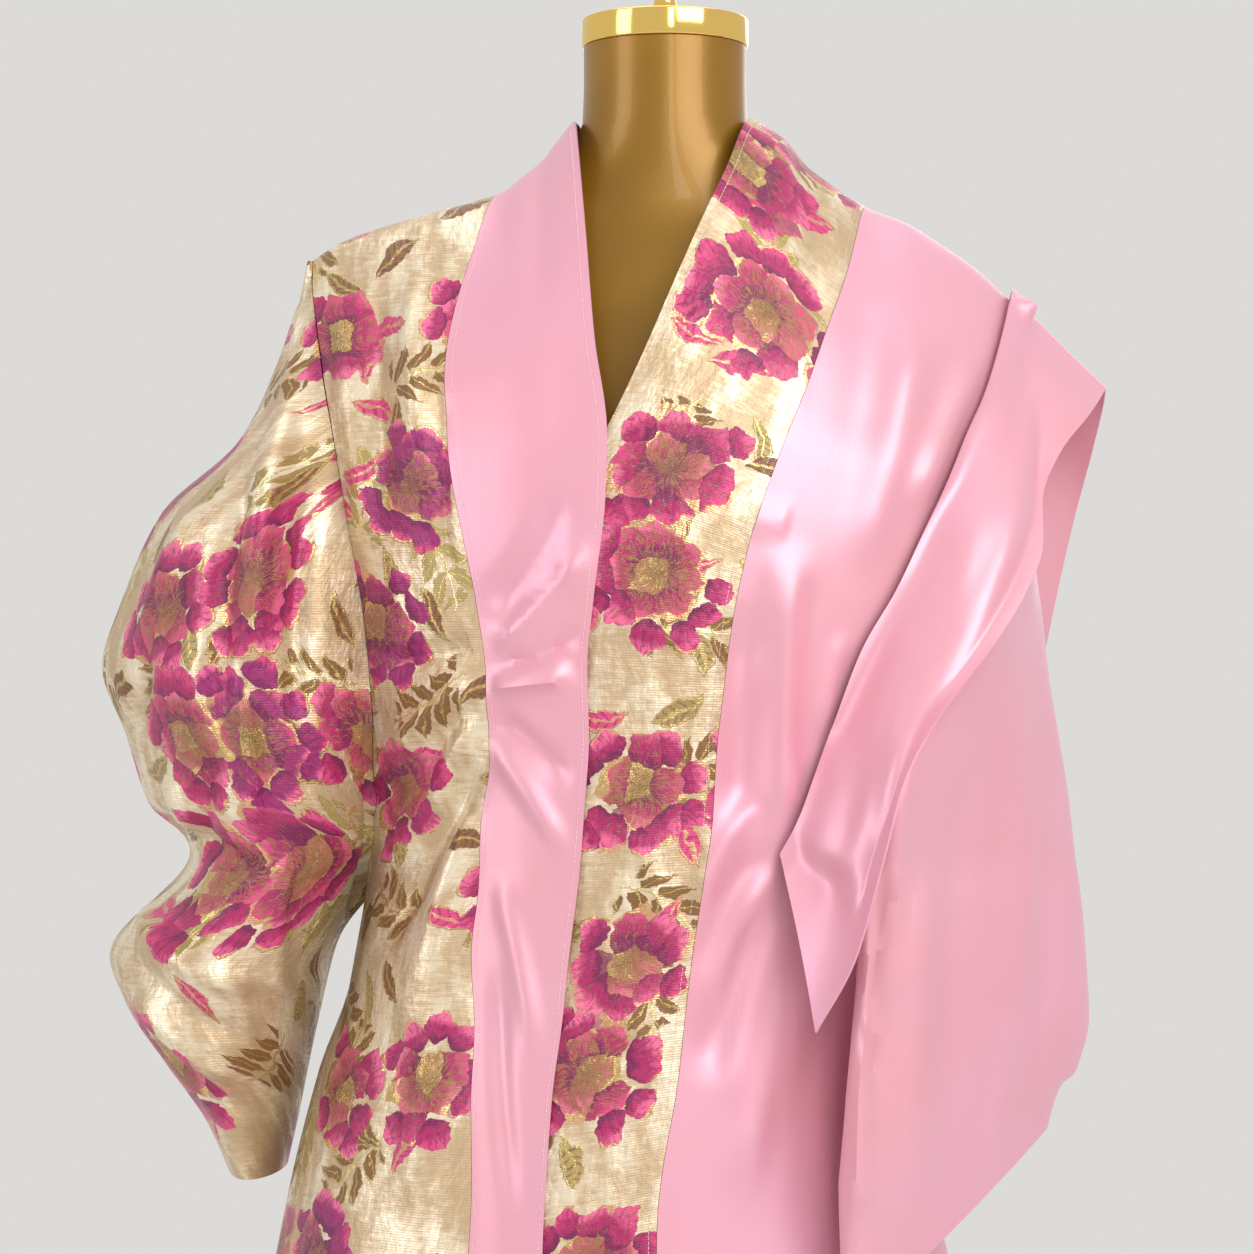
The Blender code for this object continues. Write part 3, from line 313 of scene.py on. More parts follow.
# The sleeves, level by level: where each passes nearest the body, in front, outermost and behind, and how
# much the level rises towards the outside. Above the underarm, a level starts and ends at the armhole.
SLEEVE_COLUMNS = (
    "z",
    "in_x",
    "in_y",
    "front_x",
    "front_y",
    "out_x",
    "out_y",
    "back_x",
    "back_y",
    "rise",
)
RIGHT_SLEEVE = {
    "columns": SLEEVE_COLUMNS,
    "rows": (
        (1.345, -0.209, 0.004, -0.237, -0.016, -0.241, 0.000, -0.237, 0.014, 0.0),
        (1.300, -0.209, 0.004, -0.246, -0.038, -0.257, 0.000, -0.245, 0.034, 0.0),
        (1.254, -0.209, 0.004, -0.255, -0.072, -0.279, 0.000, -0.254, 0.060, 0.0),
        (1.205, -0.209, 0.004, -0.260, -0.112, -0.331, 0.000, -0.258, 0.092, 0.0),
        (1.145, -0.209, 0.004, -0.270, -0.120, -0.358, 0.000, -0.268, 0.098, 0.0),
        (1.105, -0.209, 0.004, -0.274, -0.121, -0.370, 0.002, -0.273, 0.100, 0.0),
        (1.062, -0.209, 0.004, -0.272, -0.117, -0.355, 0.004, -0.271, 0.099, 0.0),
        (1.012, -0.209, 0.004, -0.266, -0.107, -0.338, 0.006, -0.265, 0.095, 0.0),
        (0.982, -0.209, 0.004, -0.259, -0.096, -0.302, 0.010, -0.259, 0.090, 0.0),
        (0.949, -0.209, 0.006, -0.268, -0.095, -0.341, 0.014, -0.268, 0.098, 0.0),
        (0.920, -0.219, 0.014, -0.285, -0.094, -0.368, 0.016, -0.285, 0.104, 0.0),
        (0.884, -0.228, 0.018, -0.291, -0.086, -0.357, 0.018, -0.291, 0.102, 0.0),
        (0.844, -0.237, 0.022, -0.287, -0.070, -0.331, 0.022, -0.287, 0.094, 0.0),
        (0.806, -0.245, 0.028, -0.277, -0.048, -0.305, 0.027, -0.277, 0.086, 0.0),
        (0.772, -0.253, 0.032, -0.272, -0.034, -0.290, 0.032, -0.272, 0.084, 0.0),
    ),
}
LEFT_SLEEVE = {
    "columns": SLEEVE_COLUMNS,
    "rows": (
        (1.320, 0.182, -0.006, 0.2325, -0.016, 0.2345, 0.000, 0.2325, 0.014, 0.0),
        (1.300, 0.182, -0.006, 0.232, -0.028, 0.236, 0.000, 0.233, 0.022, 0.0),
        (1.260, 0.182, -0.006, 0.227, -0.058, 0.237, -0.001, 0.232, 0.036, 0.0),
        (1.220, 0.182, -0.006, 0.218, -0.094, 0.239, -0.003, 0.231, 0.048, 0.0),
        (1.180, 0.182, -0.006, 0.204, -0.125, 0.242, -0.006, 0.230, 0.060, 0.0),
        (1.140, 0.182, -0.006, 0.188, -0.143, 0.247, -0.010, 0.230, 0.060, 0.0),
        (1.100, 0.182, -0.006, 0.170, -0.159, 0.251, -0.014, 0.229, 0.058, 0.0),
        (1.060, 0.182, -0.006, 0.153, -0.170, 0.257, -0.018, 0.228, 0.055, 0.0),
        (1.020, 0.182, -0.006, 0.138, -0.176, 0.263, -0.022, 0.226, 0.050, 0.0),
        (0.980, 0.182, -0.006, 0.127, -0.178, 0.267, -0.026, 0.224, 0.044, 0.0),
        (0.950, 0.180, -0.006, 0.123, -0.179, 0.271, -0.029, 0.222, 0.038, 0.0),
        (0.920, 0.186, -0.015, 0.120, -0.180, 0.273, -0.032, 0.222, 0.030, 0.0),
        (0.880, 0.188, -0.035, 0.116, -0.180, 0.2745, -0.036, 0.224, 0.016, 0.0),
        (0.840, 0.178, -0.062, 0.113, -0.179, 0.267, -0.040, 0.222, 0.001, 0.05),
        (0.800, 0.161, -0.092, 0.112, -0.177, 0.256, -0.044, 0.213, -0.016, 0.25),
        (0.765, 0.152, -0.110, 0.111, -0.174, 0.252, -0.046, 0.206, -0.026, 0.45),
        (0.735, 0.147, -0.120, 0.111, -0.172, 0.249, -0.048, 0.201, -0.031, 0.62),
        (0.705, 0.143, -0.125, 0.112, -0.170, 0.246, -0.049, 0.197, -0.035, 0.78),
    ),
}

# The flap stitched over the left shoulder and sleeve: its seam on the front or the back, and its free edge.
FLAP = {
    "columns": ("side", "seam_x", "seam_z", "hem_x", "hem_y", "hem_z", "swell", "faces"),
    "rows": (
        (-1, 0.068, 0.991, 0.089, -0.192, 0.886, 0.002, -90),
        (-1, 0.078, 1.012, 0.112, -0.200, 0.930, 0.008, -90),
        (-1, 0.088, 1.036, 0.129, -0.203, 0.990, 0.012, -90),
        (-1, 0.101, 1.072, 0.143, -0.199, 1.040, 0.012, -89),
        (-1, 0.119, 1.118, 0.163, -0.188, 1.075, 0.012, -87),
        (-1, 0.140, 1.154, 0.182, -0.174, 1.098, 0.012, -84),
        (-1, 0.155, 1.185, 0.204, -0.158, 1.125, 0.012, -79),
        (-1, 0.172, 1.222, 0.224, -0.134, 1.155, 0.012, -70),
        (-1, 0.185, 1.250, 0.236, -0.110, 1.182, 0.010, -58),
        (-1, 0.197, 1.274, 0.239, -0.084, 1.213, 0.008, -45),
        (-1, 0.208, 1.302, 0.253, -0.062, 1.243, 0.005, -32),
        (-1, 0.217, 1.330, 0.275, -0.030, 1.268, 0.003, -18),
        (-1, 0.221, 1.3435, 0.286, -0.006, 1.281, 0.002, -8),
        (-1, 0.223, 1.3494, 0.292, 0.008, 1.289, 0.001, 0),
        (1, 0.223, 1.3430, 0.293, 0.024, 1.280, 0.002, 8),
        (1, 0.218, 1.3250, 0.289, 0.050, 1.250, 0.003, 22),
        (1, 0.210, 1.290, 0.280, 0.082, 1.202, 0.006, 38),
        (1, 0.201, 1.240, 0.268, 0.108, 1.135, 0.010, 54),
        (1, 0.192, 1.175, 0.255, 0.122, 1.062, 0.012, 68),
        (1, 0.182, 1.100, 0.241, 0.128, 0.990, 0.010, 78),
        (1, 0.168, 1.030, 0.226, 0.128, 0.928, 0.006, 84),
    ),
}

# The folds, as seen from the front (side -1) or the back (side 1): a soft ridge, or a trough where its height
# is below zero, bowed sideways by its bend. First the body's largest, which the solids have too.
FOLD_COLUMNS = ("side", "from_x", "from_z", "to_x", "to_z", "half_width", "height", "bend")
BODY_FOLDS = {
    "columns": FOLD_COLUMNS,
    "rows": (
        (-1, 0.078, 1.190, 0.070, 0.985, 0.012, 0.008, 0.0),
        (-1, 0.050, 1.150, 0.044, 1.000, 0.014, -0.007, 0.0),
        (-1, 0.160, 1.330, 0.118, 1.160, 0.014, 0.005, 0.0),
        (-1, 0.200, 1.310, 0.150, 1.200, 0.009, 0.004, 0.0),
        (-1, 0.060, 0.960, 0.020, 0.850, 0.013, -0.006, 0.0),
        (-1, 0.085, 0.930, 0.045, 0.780, 0.014, 0.006, 0.0),
        (-1, -0.115, 1.110, -0.176, 1.020, 0.020, 0.007, 0.0),
        (-1, -0.118, 1.060, -0.180, 0.940, 0.018, -0.007, 0.0),
        (-1, -0.130, 1.020, -0.175, 0.860, 0.020, 0.006, 0.0),
        (-1, -0.150, 1.350, -0.165, 1.180, 0.018, 0.005, 0.0),
        (-1, -0.112, 1.135, -0.056, 1.165, 0.013, -0.005, 0.0),
        (-1, -0.112, 1.100, -0.056, 1.110, 0.013, 0.005, 0.0),
        (1, -0.120, 1.330, -0.060, 1.120, 0.020, -0.006, 0.0),
        (1, 0.120, 1.320, 0.060, 1.120, 0.020, -0.006, 0.0),
    ),
}

# The skirt's flutes: how many go round, where each set starts, and its share of the depth.
FLUTES = {
    "columns": ("count", "turn", "share"),
    "rows": ((8, 0.4, 0.6), (11, 2.0, 0.4)),
}
FLUTE_TOP = 0.68
FLUTE_DEPTH = 0.020

# The finer creases, which the solids don't have.
FINE_FOLDS = {
    "columns": FOLD_COLUMNS,
    "rows": (
        (-1, 0.060, 1.030, 0.016, 0.950, 0.0072, 0.0029, 0.006),
        (-1, 0.064, 1.000, 0.018, 0.905, 0.0080, -0.0031, 0.008),
        (-1, 0.067, 0.985, 0.028, 0.880, 0.0072, 0.0026, 0.008),
        (-1, 0.073, 0.958, 0.040, 0.820, 0.0096, 0.0032, 0.010),
        (-1, 0.086, 0.935, 0.060, 0.770, 0.0096, -0.0031, 0.006),
        (-1, 0.104, 0.915, 0.108, 0.700, 0.0128, 0.0037, 0.004),
        (-1, 0.066, 1.190, 0.046, 1.060, 0.0096, 0.0024, -0.004),
        (-1, 0.050, 1.200, 0.078, 1.196, 0.0088, 0.0029, 0.002),
        (-1, 0.088, 1.170, 0.080, 1.020, 0.0088, -0.0029, 0.003),
        (-1, 0.150, 1.370, 0.142, 1.190, 0.0170, 0.0018, -0.004),
        (-1, 0.186, 1.350, 0.160, 1.180, 0.0170, 0.0018, 0.004),
        (-1, 0.196, 1.325, 0.172, 1.235, 0.0170, -0.0015, 0.004),
        (-1, 0.128, 1.345, 0.112, 1.230, 0.0170, -0.0015, -0.004),
        (-1, 0.110, 1.130, 0.096, 1.060, 0.0064, 0.0017, 0.002),
        (-1, -0.110, 1.118, -0.046, 1.185, 0.0065, 0.0072, 0.005),
        (-1, -0.112, 1.105, -0.050, 1.128, 0.0060, -0.0069, 0.003),
        (-1, -0.112, 1.092, -0.052, 1.098, 0.0052, 0.0054, -0.002),
        (-1, -0.112, 1.078, -0.056, 1.030, 0.0065, -0.0061, -0.004),
        (-1, -0.112, 1.062, -0.060, 0.985, 0.0060, 0.0057, -0.004),
        (-1, -0.112, 1.140, -0.060, 1.215, 0.0080, -0.0051, 0.004),
        (-1, -0.106, 0.980, -0.080, 0.860, 0.0060, 0.0044, -0.004),
        (-1, -0.104, 0.930, -0.092, 0.760, 0.0065, -0.0040, 0.003),
        (-1, -0.118, 1.104, -0.186, 1.050, 0.0065, 0.0076, -0.006),
        (-1, -0.116, 1.092, -0.196, 1.010, 0.0070, -0.0076, -0.006),
        (-1, -0.118, 1.078, -0.192, 0.965, 0.0065, 0.0072, -0.006),
        (-1, -0.120, 1.058, -0.184, 0.915, 0.0075, -0.0072, -0.005),
        (-1, -0.122, 1.030, -0.172, 0.850, 0.0070, 0.0061, -0.004),
        (-1, -0.118, 1.120, -0.186, 1.110, 0.0060, -0.0054, -0.003),
        (-1, -0.160, 1.365, -0.146, 1.215, 0.0080, 0.0049, 0.006),
        (-1, -0.186, 1.355, -0.170, 1.200, 0.0075, -0.0049, 0.006),
        (-1, -0.206, 1.340, -0.184, 1.180, 0.0070, 0.0043, 0.006),
        (-1, -0.140, 1.290, -0.134, 1.150, 0.0055, -0.0035, 0.004),
        (-1, -0.128, 0.960, -0.160, 0.760, 0.0085, 0.0052, 0.006),
        (-1, -0.020, 1.010, 0.008, 0.930, 0.0050, 0.0026, 0.003),
        (-1, -0.040, 1.140, 0.020, 1.120, 0.0050, 0.0026, 0.003),
        (-1, -0.050, 0.960, 0.000, 0.850, 0.0060, 0.0029, 0.004),
        (1, -0.150, 1.360, -0.100, 1.180, 0.0080, 0.0046, 0.006),
        (1, -0.090, 1.330, -0.070, 1.080, 0.0085, -0.0043, 0.006),
        (1, 0.150, 1.350, 0.100, 1.170, 0.0080, 0.0046, -0.006),
        (1, 0.080, 1.330, 0.060, 1.080, 0.0085, -0.0041, -0.006),
        (1, -0.165, 1.120, -0.080, 0.960, 0.0080, 0.0052, 0.008),
        (1, -0.160, 1.060, -0.090, 0.880, 0.0085, -0.0052, 0.008),
        (1, 0.160, 1.120, 0.075, 0.950, 0.0080, 0.0049, -0.008),
        (1, 0.150, 1.050, 0.085, 0.860, 0.0085, -0.0049, -0.008),
        (1, -0.030, 1.120, 0.020, 0.900, 0.0090, 0.0043, 0.006),
    ),
}
RIGHT_SLEEVE_FOLDS = {
    "columns": FOLD_COLUMNS,
    "rows": (
        (-1, -0.236, 1.290, -0.256, 1.090, 0.0090, 0.0097, 0.010),
        (-1, -0.262, 1.240, -0.276, 1.060, 0.0080, -0.0097, 0.008),
        (-1, -0.288, 1.215, -0.330, 1.090, 0.0100, 0.0090, 0.010),
        (-1, -0.300, 1.170, -0.345, 1.050, 0.0085, -0.0081, 0.008),
        (-1, -0.222, 1.230, -0.232, 1.060, 0.0070, -0.0081, 0.004),
        (-1, -0.270, 1.100, -0.262, 1.000, 0.0060, 0.0090, -0.004),
        (-1, -0.280, 1.060, -0.296, 0.985, 0.0055, -0.0065, 0.003),
        (-1, -0.318, 1.040, -0.290, 0.978, 0.0060, 0.0065, 0.003),
        (-1, -0.340, 1.010, -0.240, 0.965, 0.0065, -0.0074, -0.004),
        (-1, -0.350, 0.950, -0.255, 0.900, 0.0080, 0.0081, 0.008),
        (-1, -0.352, 0.925, -0.262, 0.868, 0.0070, -0.0081, 0.008),
        (-1, -0.345, 0.900, -0.268, 0.838, 0.0070, 0.0075, 0.006),
        (-1, -0.330, 0.872, -0.262, 0.812, 0.0060, -0.0065, 0.005),
        (-1, -0.240, 0.990, -0.250, 0.880, 0.0060, 0.0065, 0.004),
        (-1, -0.245, 1.330, -0.262, 1.230, 0.0080, -0.0049, 0.004),
        (1, -0.250, 1.290, -0.300, 1.100, 0.0100, 0.0090, 0.010),
        (1, -0.230, 1.230, -0.250, 1.060, 0.0090, -0.0081, 0.008),
        (1, -0.300, 1.150, -0.330, 1.030, 0.0090, -0.0081, 0.006),
        (1, -0.340, 1.000, -0.250, 0.960, 0.0070, -0.0074, 0.004),
        (1, -0.340, 0.940, -0.260, 0.880, 0.0080, 0.0081, 0.008),
        (1, -0.330, 0.890, -0.268, 0.840, 0.0070, -0.0069, 0.006),
    ),
}
LEFT_SLEEVE_FOLDS = {
    "columns": FOLD_COLUMNS,
    "rows": (
        (-1, 0.148, 1.070, 0.134, 0.930, 0.0080, 0.0063, 0.004),
        (-1, 0.134, 1.020, 0.126, 0.830, 0.0055, -0.0057, 0.003),
        (-1, 0.160, 1.000, 0.150, 0.760, 0.0110, 0.0063, 0.004),
        (-1, 0.185, 1.060, 0.176, 0.800, 0.0120, -0.0042, 0.006),
        (-1, 0.214, 1.110, 0.212, 0.860, 0.0120, 0.0042, -0.010),
        (-1, 0.244, 1.000, 0.216, 0.820, 0.0090, -0.0035, -0.010),
        (-1, 0.226, 0.900, 0.180, 0.760, 0.0070, 0.0035, -0.008),
        (-1, 0.120, 0.900, 0.118, 0.740, 0.0040, 0.0042, 0.002),
        (-1, 0.236, 1.230, 0.232, 1.130, 0.0080, 0.0037, 0.003),
        (1, 0.228, 1.260, 0.224, 1.080, 0.0100, 0.0050, 0.006),
        (1, 0.218, 1.160, 0.230, 0.980, 0.0090, -0.0050, 0.006),
        (1, 0.240, 1.080, 0.244, 0.900, 0.0100, 0.0050, 0.008),
        (1, 0.224, 1.000, 0.230, 0.840, 0.0070, -0.0042, 0.004),
    ),
}
FLAP_FOLDS = {
    "columns": FOLD_COLUMNS,
    "rows": (
        (-1, 0.205, 1.320, 0.150, 1.080, 0.0105, 0.0016, 0.012),
        (-1, 0.226, 1.290, 0.176, 1.120, 0.0090, -0.0015, 0.008),
        (-1, 0.150, 1.160, 0.098, 0.985, 0.0090, 0.0017, 0.006),
        (-1, 0.165, 1.130, 0.112, 0.960, 0.0083, -0.0016, 0.006),
        (-1, 0.125, 1.070, 0.092, 0.930, 0.0075, 0.0013, 0.004),
        (-1, 0.240, 1.320, 0.236, 1.210, 0.0120, 0.0013, 0.004),
        (1, 0.240, 1.300, 0.226, 1.110, 0.0120, 0.0016, 0.006),
        (1, 0.222, 1.220, 0.204, 1.030, 0.0105, -0.0016, 0.006),
    ),
}

# The form: half its width, and how far it reaches to the front and the back.
FORM = {
    "columns": ("z", "half_width", "front", "back"),
    "rows": (
        (0.757, 0.110, 0.078, 0.074),
        (0.775, 0.138, 0.096, 0.090),
        (0.820, 0.147, 0.102, 0.098),
        (0.880, 0.149, 0.106, 0.100),
        (0.940, 0.147, 0.104, 0.094),
        (1.000, 0.140, 0.099, 0.083),
        (1.060, 0.137, 0.101, 0.077),
        (1.120, 0.153, 0.115, 0.080),
        (1.190, 0.173, 0.129, 0.084),
        (1.250, 0.185, 0.117, 0.084),
        (1.310, 0.190, 0.096, 0.079),
        (1.345, 0.186, 0.080, 0.073),
        (1.373, 0.172, 0.067, 0.065),
        (1.390, 0.150, 0.060, 0.061),
        (1.402, 0.126, 0.056, 0.059),
        (1.412, 0.104, 0.055, 0.058),
        (1.424, 0.084, 0.055, 0.058),
        (1.434, 0.072, 0.055, 0.058),
        (1.446, 0.061, 0.055, 0.057),
        (1.462, NECK_RADIUS, 0.0545, 0.0555),
        (1.485, NECK_RADIUS - 0.001, 0.0535, 0.0540),
        (1.513, NECK_RADIUS - 0.001, 0.0530, 0.0535),
    ),
}

# The knob above the neck cap, as a turned outline from the bottom up.
KNOB = {
    "columns": ("radius", "height"),
    "rows": (
        (0.0145, 0.000),
        (0.0145, 0.004),
        (0.0085, 0.008),
        (0.0070, 0.014),
        (0.0105, 0.019),
        (0.0150, 0.026),
        (0.0160, 0.032),
        (0.0140, 0.039),
        (0.0080, 0.044),
        (0.0020, 0.046),
    ),
}


# Tables and smooth curves
def table(source):
    """Each column of a table, by name, with the side seam's missing x as NaN."""
    rows = np.array(source["rows"], dtype=float)
    return {name: rows[:, i] for i, name in enumerate(source["columns"])}


def cubic(t, start, leave, end, arrive):
    """A cubic from start to end, with the tangents it leaves and arrives by."""
    return (
        (2 * t**3 - 3 * t**2 + 1) * start
        + (t**3 - 2 * t**2 + t) * leave
        + (3 * t**2 - 2 * t**3) * end
        + (t**3 - t**2) * arrive
    )


def smooth(at, xs, ys):
    """A cubic through the points that doesn't overshoot between them."""
    xs, ys = np.asarray(xs, float), np.asarray(ys, float)
    steps = np.diff(xs)
    slopes = np.diff(ys) / steps
    tangents = np.zeros(len(xs))
    tangents[0], tangents[-1] = slopes[0], slopes[-1]
    same_way = slopes[:-1] * slopes[1:] > 0
    with np.errstate(divide="ignore", invalid="ignore"):
        harmonic = 2 * slopes[:-1] * slopes[1:] / (slopes[:-1] + slopes[1:])
    tangents[1:-1] = np.where(same_way, harmonic, 0.0)
    at = np.clip(at, xs[0], xs[-1])
    i = np.clip(np.searchsorted(xs, at, side="right") - 1, 0, len(steps) - 1)
    leave, arrive = steps[i] * tangents[i], steps[i] * tangents[i + 1]
    return cubic((at - xs[i]) / steps[i], ys[i], leave, ys[i + 1], arrive)


def fade(t):
    """0 below 0, 1 above 1, and soft between."""
    t = np.clip(t, 0.0, 1.0)
    return t * t * (3 - 2 * t)


def finer(count, per_station):
    """The numbers of a table's rows, and finer steps between them."""
    return np.arange(count), np.linspace(0, count - 1, (count - 1) * per_station + 1)


def normalised(v):
    return v / np.linalg.norm(v, axis=-1, keepdims=True)


# The drape
DRAPE_TABLE = table(DRAPE)
DRAPE_STEPS = np.sqrt(DRAPE_TABLE["drop"])
SHOULDERS = table(SHOULDER_LINE)


def drape_size(column, drop):
    """One size of the drape, read by the root of the drop, so that the shoulders come out round."""
    return smooth(np.sqrt(np.maximum(drop, 0.0)), DRAPE_STEPS, DRAPE_TABLE[column])


def height_of(x, drop):
    """High up, the drape follows the shoulder line. Further down, its rows are level."""
    share = 1 - fade(np.asarray(drop) / RIDGE_FADE)
    return share * smooth(x, SHOULDERS["x"], SHOULDERS["z"]) + (1 - share) * NECK_TOP - drop


def plain_drape(angle, drop):
    """The point of the drape, with no folds, at an angle from the front towards the wearer's left."""
    x = drape_size("centre", drop) + drape_size("half_width", drop) * np.sin(angle)
    facing = np.cos(angle)
    depth = np.where(facing > 0, drape_size("front", drop), drape_size("back", drop))
    y = -np.sign(facing) * depth * np.abs(facing) ** CROWN
    return np.stack([x, y, height_of(x, drop)], axis=-1)


def place(x, z, front):
    """The angle and drop of the drape's point that is seen at x and z from the front, or from behind."""
    low, high = 0.0, NECK_TOP - HEM + 0.05
    for _ in range(HALVINGS):
        middle = (low + high) / 2
        if height_of(x, middle) > z:
            low = middle
        else:
            high = middle
    across = (x - drape_size("centre", low)) / drape_size("half_width", low)
    angle = math.asin(min(0.999, max(-0.999, float(across))))
    if not front:
        angle = math.pi - angle
    return angle, low


def side_place(z, sign):
    """The angle and drop of the side seam's point at height z."""
    return sign * math.pi / 2, NECK_TOP - z


def fold_relief(angle, drop):
    """How far the folds and flutes move the drape out."""
    point = plain_drape(angle, drop)
    folds = crease_relief(point, BODY_FOLDS, 0.0, 0.03, 0.25, 0.25) + crease_relief(point, FINE_FOLDS, 0.0)
    wave = sum(share * np.cos(count * angle + turn) for count, turn, share in FLUTES["rows"])
    grown = fade((drop - FLUTE_TOP) / (NECK_TOP - HEM - FLUTE_TOP))
    return folds + FLUTE_DEPTH * grown * wave


def plain_normal(angle, drop):
    """The outward direction of the drape with no folds."""
    step = 1e-4
    across = plain_drape(angle + step, drop) - plain_drape(angle - step, drop)
    lower = np.maximum(drop, 2 * step)
    down = plain_drape(angle, lower + step) - plain_drape(angle, lower - step)
    return normalised(np.cross(down, across))


def drape(angle, drop, lift=0.0):
    """The drape's points with folds, moved out by lift."""
    point = plain_drape(angle, drop)
    return point + plain_normal(angle, drop) * (fold_relief(angle, drop) + lift)[..., None]


def laid(places, lift=0.0):
    """The drape's points and outward directions at an array of places."""
    angle, drop = places[..., 0], places[..., 1]
    return drape(angle, drop, lift), plain_normal(angle, drop)


def half_gap(drop):
    """Half a seam's gap, as an angle at the side."""
    return SEAM_GAP / 2 / drape_size("half_width", drop)


# Walls
def grid_normals(points, joined_from=None):
    """Outward directions of a grid of points, rows down and columns towards the wearer's left.
    From the joined row down, the last column is the first one again."""
    across = np.gradient(points, axis=1)
    if joined_from is not None:
        around = points[joined_from:, 1] - points[joined_from:, -2]
        across[joined_from:, 0] = around
        across[joined_from:, -1] = around
    down = np.gradient(points, axis=0)
    return normalised(np.cross(down, across))


def in_scene(name, data):
    thing = bpy.data.objects.new(name, data)
    bpy.context.scene.collection.objects.link(thing)
    return thing


def make_object(name, vertices, faces, material, flat=None):
    """A smooth mesh. Where flat is given, it is each face corner's place on the flat cloth, in metres."""
    used = np.unique(np.concatenate([np.asarray(face) for face in faces]))
    fresh = np.zeros(len(vertices), dtype=int)
    fresh[used] = np.arange(len(used))
    mesh = bpy.data.meshes.new(name)
    mesh.from_pydata(np.asarray(vertices)[used].tolist(), [], [fresh[list(face)].tolist() for face in faces])
    if flat is not None:
        layer = mesh.uv_layers.new(name="flat")
        layer.data.foreach_set("uv", np.asarray(flat, dtype=np.float32).ravel())
    piece = in_scene(name, mesh)
    mesh.materials.append(material)
    mesh.shade_smooth()
    mesh.set_sharp_from_angle(angle=math.radians(SHARP_DEGREES))
    return piece


def flat_places(points, along_length):
    """Where each point of a grid lies on the flat cloth: how far along its row, and how high or far down."""
    steps = np.linalg.norm(np.diff(points[..., :2], axis=1), axis=-1)
    along = np.concatenate([np.zeros((len(points), 1)), np.cumsum(steps, axis=1)], axis=1)
    middle = points.shape[1] // 2
    down = points[..., 2]
    if along_length:
        lengths = np.linalg.norm(np.diff(points[:, middle], axis=0), axis=-1)
        down = np.broadcast_to(-np.concatenate([[0.0], np.cumsum(lengths)])[:, None], down.shape)
    return np.stack([along - along[:, middle : middle + 1], down], axis=-1)


def wall(name, points, normals, material, joined_from=None, along_length=False):
    """A closed wall of cloth round a grid of points, half its thickness to each side."""
    rows, columns = points.shape[:2]
    joined_from = rows if joined_from is None else joined_from
    places = flat_places(points, along_length)
    outer = points + normals * CLOTH / 2
    inner = points - normals * CLOTH / 2
    vertices = np.concatenate([outer.reshape(-1, 3), inner.reshape(-1, 3)])
    under = rows * columns
    last = columns - 1
    faces = []
    flat = []

    def add(*corners):
        faces.append(
            [
                side * under + i * columns + (0 if i >= joined_from and j == last else j)
                for side, i, j in corners
            ]
        )
        flat.extend(places[i, j] for _, i, j in corners)

    for i in range(rows - 1):
        for j in range(columns - 1):
            add((0, i, j), (0, i + 1, j), (0, i + 1, j + 1), (0, i, j + 1))
            add((1, i, j), (1, i, j + 1), (1, i + 1, j + 1), (1, i + 1, j))
        if i < joined_from:
            add((0, i, 0), (1, i, 0), (1, i + 1, 0), (0, i + 1, 0))
            add((0, i, last), (0, i + 1, last), (1, i + 1, last), (1, i, last))
    for j in range(columns - 1):
        add((0, 0, j), (0, 0, j + 1), (1, 0, j + 1), (1, 0, j))
        add((0, rows - 1, j), (1, rows - 1, j), (1, rows - 1, j + 1), (0, rows - 1, j + 1))
    return make_object(name, vertices, faces, material, flat)


# Edges of the pieces, as angles and drops, one pair for each row
def refined(places, rows_per_station):
    """More rows between the given places. The drop goes by its root, so that the shoulders stay round."""
    stations, fine = finer(len(places), rows_per_station)
    angle = smooth(fine, stations, places[:, 0])
    root = smooth(fine, stations, np.sqrt(places[:, 1]))
    return np.stack([angle, root**2], axis=-1)


def edge_places(source, edge, front):
    """The places along one edge of a table, smooth between its rows."""
    columns = table(source)
    xs, zs = columns[edge + "_x"], columns[edge + "_z"]
    sign = 1 if source in (LEFT_FRONT, LEFT_BACK) else -1
    found = np.array(
        [side_place(z, sign) if math.isnan(x) else place(x, z, front) for x, z in zip(xs, zs)]
    )
    if not front and sign > 0:
        found[:, 0] = np.abs(found[:, 0])
    elif not front:
        found[:, 0] -= 2 * math.pi * (found[:, 0] > 0)
    return refined(found, ROWS_PER_STATION)


def across_gap(places, sign):
    """Places moved sideways by half a seam's gap."""
    width = drape_size("half_width", places[:, 1]) * np.maximum(np.abs(np.cos(places[:, 0])), NARROWEST)
    moved = places.copy()
    moved[:, 0] += sign * SEAM_GAP / 2 / width
    return moved


def between(first, last, columns):
    """Rows of places, evenly spaced from the first edge to the last."""
    share = np.linspace(0, 1, columns + 1)[None, :, None]
    return first[:, None, :] * (1 - share) + last[:, None, :] * share


def open_shoulder(points, normals, side):
    """Holds the points on the shoulder line half a gap to the front or the back, with walls square to it."""
    on_line = np.abs(points[0, :, 1]) < 2 * SEAM_GAP
    points[0, on_line, 1] = side * SEAM_GAP / 2
    normals[0, on_line, 1] = 0.0
    normals[0] = normalised(normals[0])


